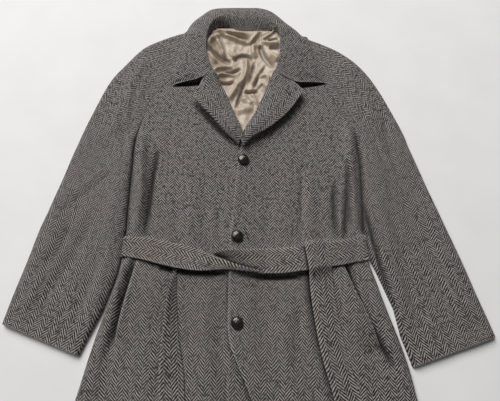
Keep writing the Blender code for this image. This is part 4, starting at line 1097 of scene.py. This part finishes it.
def build_loop(material):
    """A narrow strip sewn down above and below the belt."""
    y = np.linspace(*LOOP_ENDS, ROWS["loop"])
    sides = [plan_line(np.full(len(y), LOOP_X + way * LOOP_WIDTH / 2), y) for way in (-1.0, 1.0)]
    plan, width = lay_out(*sides, LOOP_SHARES)
    away = edge_away(LOOP_SHARES, width)
    laid("belt_loop", plan, lowest(plan, 1), wall(away, LOOP_CLOTH), weave_places(plan), away, material)


def in_groove(x, y):
    """Whether a place, in button radii, is beside a strap of the knotted leather."""
    p, q = (x + y) * math.sqrt(0.5) / KNOT_WIDTH, (y - x) * math.sqrt(0.5) / KNOT_WIDTH
    row, column = math.floor(p + 0.5), math.floor(q + 0.5)
    beside = q - column if (row + column) % 2 else p - row
    return abs(beside) > KNOT_STRAP


def select_faces(piece, wanted):
    """Goes into edit mode with only the wanted faces selected."""
    bpy.ops.object.mode_set(mode="EDIT")
    bpy.ops.mesh.select_mode(type="FACE")
    bpy.ops.mesh.select_all(action="DESELECT")
    bpy.ops.object.mode_set(mode="OBJECT")
    for face in piece.data.polygons:
        face.select = bool(wanted(face))
    bpy.ops.object.mode_set(mode="EDIT")


def apply_modifier(piece, kind, **settings):
    bpy.ops.object.modifier_add(type=kind)
    added = piece.modifiers[-1]
    for key, value in settings.items():
        setattr(added, key, value)
    bpy.ops.object.modifier_apply(modifier=added.name)


def start_piece(name, add, **settings):
    """A new primitive under its own name, with nothing else selected."""
    bpy.ops.object.select_all(action="DESELECT")
    add(**settings)
    piece = bpy.context.object
    piece.name = name
    return piece


def place_piece():
    """Puts the piece's place and turn into its mesh."""
    bpy.ops.object.transform_apply(location=True, rotation=True, scale=True)


def build_button(node, x, y, material):
    """A ball flattened above and below its rim, with grooves pressed in between the straps."""
    ring = np.linspace(0.0, 2.0 * math.pi, 24, endpoint=False)
    rim = plan_line(x + BUTTON_RADIUS * np.cos(ring), y + BUTTON_RADIUS * np.sin(ring))
    level = line_heights(rim).max() + GAP + BUTTON_FOOT
    middle = (x, y, level)
    piece = start_piece(
        node + "_knot", bpy.ops.mesh.primitive_uv_sphere_add, segments=BUTTON_FACES[0],
        ring_count=BUTTON_FACES[1], radius=BUTTON_RADIUS, location=middle)
    place_piece()
    for upper, height in ((False, BUTTON_FOOT), (True, BUTTON_DOME)):
        select_faces(piece, lambda face: (face.center.z > level) == upper)
        bpy.ops.transform.resize(value=(1.0, 1.0, height / BUTTON_RADIUS), center_override=middle)
        bpy.ops.object.mode_set(mode="OBJECT")
    select_faces(piece, lambda face: face.center.z > level + GAP and in_groove(
        (face.center.x - x) / BUTTON_RADIUS, (face.center.y - y) / BUTTON_RADIUS))
    bpy.ops.transform.shrink_fatten(value=-KNOT)
    bpy.ops.object.mode_set(mode="OBJECT")
    apply_modifier(piece, "SMOOTH", factor=BUTTON_SOFT[0], iterations=BUTTON_SOFT[1])
    bpy.ops.object.shade_smooth()
    finish_piece(piece, node, material)


def build_buttonhole(name, x, y, length, turn, material):
    """A worked slit: a narrow bar with a hollowed top, laid to the slope of the cloth below it."""
    half = length / 2
    near = np.array(((x - half, y), (x + half, y), (x, y - half), (x, y + half), (x, y)))
    west, east, south, north, here = line_heights(near)
    normal = Vector((west - east, south - north, length)).normalized()
    piece = start_piece(name, bpy.ops.mesh.primitive_cube_add, size=1.0)
    bpy.ops.object.mode_set(mode="EDIT")
    bpy.ops.transform.resize(value=(length, HOLE_WIDTH, HOLE_RISE), center_override=(0.0, 0.0, 0.0))
    bpy.ops.object.mode_set(mode="OBJECT")
    select_faces(piece, lambda face: face.normal.z > 0.5)
    bpy.ops.mesh.inset(thickness=HOLE_WIDTH * HOLE_LIP)
    bpy.ops.transform.translate(value=(0.0, 0.0, -HOLE_RISE * HOLE_SINK))
    bpy.ops.object.mode_set(mode="OBJECT")
    apply_modifier(piece, "BEVEL", width=HOLE_RISE * HOLE_BEVEL, segments=2)
    slope = normal.to_track_quat("Z", "Y")
    piece.rotation_mode = "QUATERNION"
    piece.rotation_quaternion = slope @ Quaternion((0.0, 0.0, 1.0), math.radians(turn))
    piece.location = Vector((x, y, here)) + normal * (HOLE_RISE / 2 + GAP)
    place_piece()
    bpy.ops.object.shade_smooth_by_angle(angle=math.radians(HOLE_SHARP))
    finish_piece(piece, None, material)
    return piece


def build_floor():
    floor = start_piece("floor", bpy.ops.mesh.primitive_plane_add, size=FLOOR_SIZE,
                        location=(0.0, 0.0, -FLOOR_DROP))
    floor.data.materials.append(floor_material())


def build_light():
    world = bpy.data.worlds.new("studio")
    world.use_nodes = True
    set_values(world.node_tree.nodes["Background"], Color=(*SKY_COLOUR, 1.0), Strength=SKY_STRENGTH)
    bpy.context.scene.world = world
    bpy.context.scene.view_settings.view_transform = "Standard"
    lamp = bpy.data.lights.new("window", "AREA")
    lamp.energy = LAMP_POWER
    lamp.size = LAMP_SIZE
    lamp.color = LAMP_COLOUR
    window = link("window", lamp)
    window.location = LAMP_PLACE
    window.rotation_euler = (-window.location).to_track_quat("-Z", "Y").to_euler()


def build_camera():
    view = bpy.data.cameras.new("camera")
    view.sensor_width = CAMERA_SENSOR
    view.lens = CAMERA_LENS
    camera = link("camera", view)
    camera.location = CAMERA_PLACE
    camera.rotation_euler = (math.radians(CAMERA_TILT), 0.0, 0.0)
    bpy.context.scene.camera = camera


def build_coat():
    """All pieces, in the order in which each comes to lie on the ones before."""
    pattern = herringbone_group()
    body, trim, belt = [wool_material(name, pattern, *look) for name, look in WOOLS.items()]
    satin = satin_material()
    leather = leather_material()
    thread = thread_material()
    build_belt_back(belt)
    build_back(body)
    for side in OUTWARD:
        build_sleeve_back(side, body)
    build_lining(satin)
    for side in OUTWARD:
        build_front(side, body)
        build_sleeve_front(side, body)
        build_lapel(side, trim)
    build_collar(trim)
    for side in OUTWARD:
        build_welt(side, body)
    for number, (x, y) in enumerate(zip(*BUTTONS.values()), start=1):
        build_button(f"button_{number}", x, y, leather)
    for node, x, y, length, turn in zip(HOLE_NODES, *BUTTONHOLES.values(), HOLE_TURNS):
        build_buttonhole(node + "_buttonhole", x, y, length, turn, thread)
    build_strand("left", belt)
    build_tail("right", belt)
    build_strand("right", belt)
    build_tail("left", belt)
    build_loop(belt)


build_floor()
build_light()
build_camera()
build_coat()
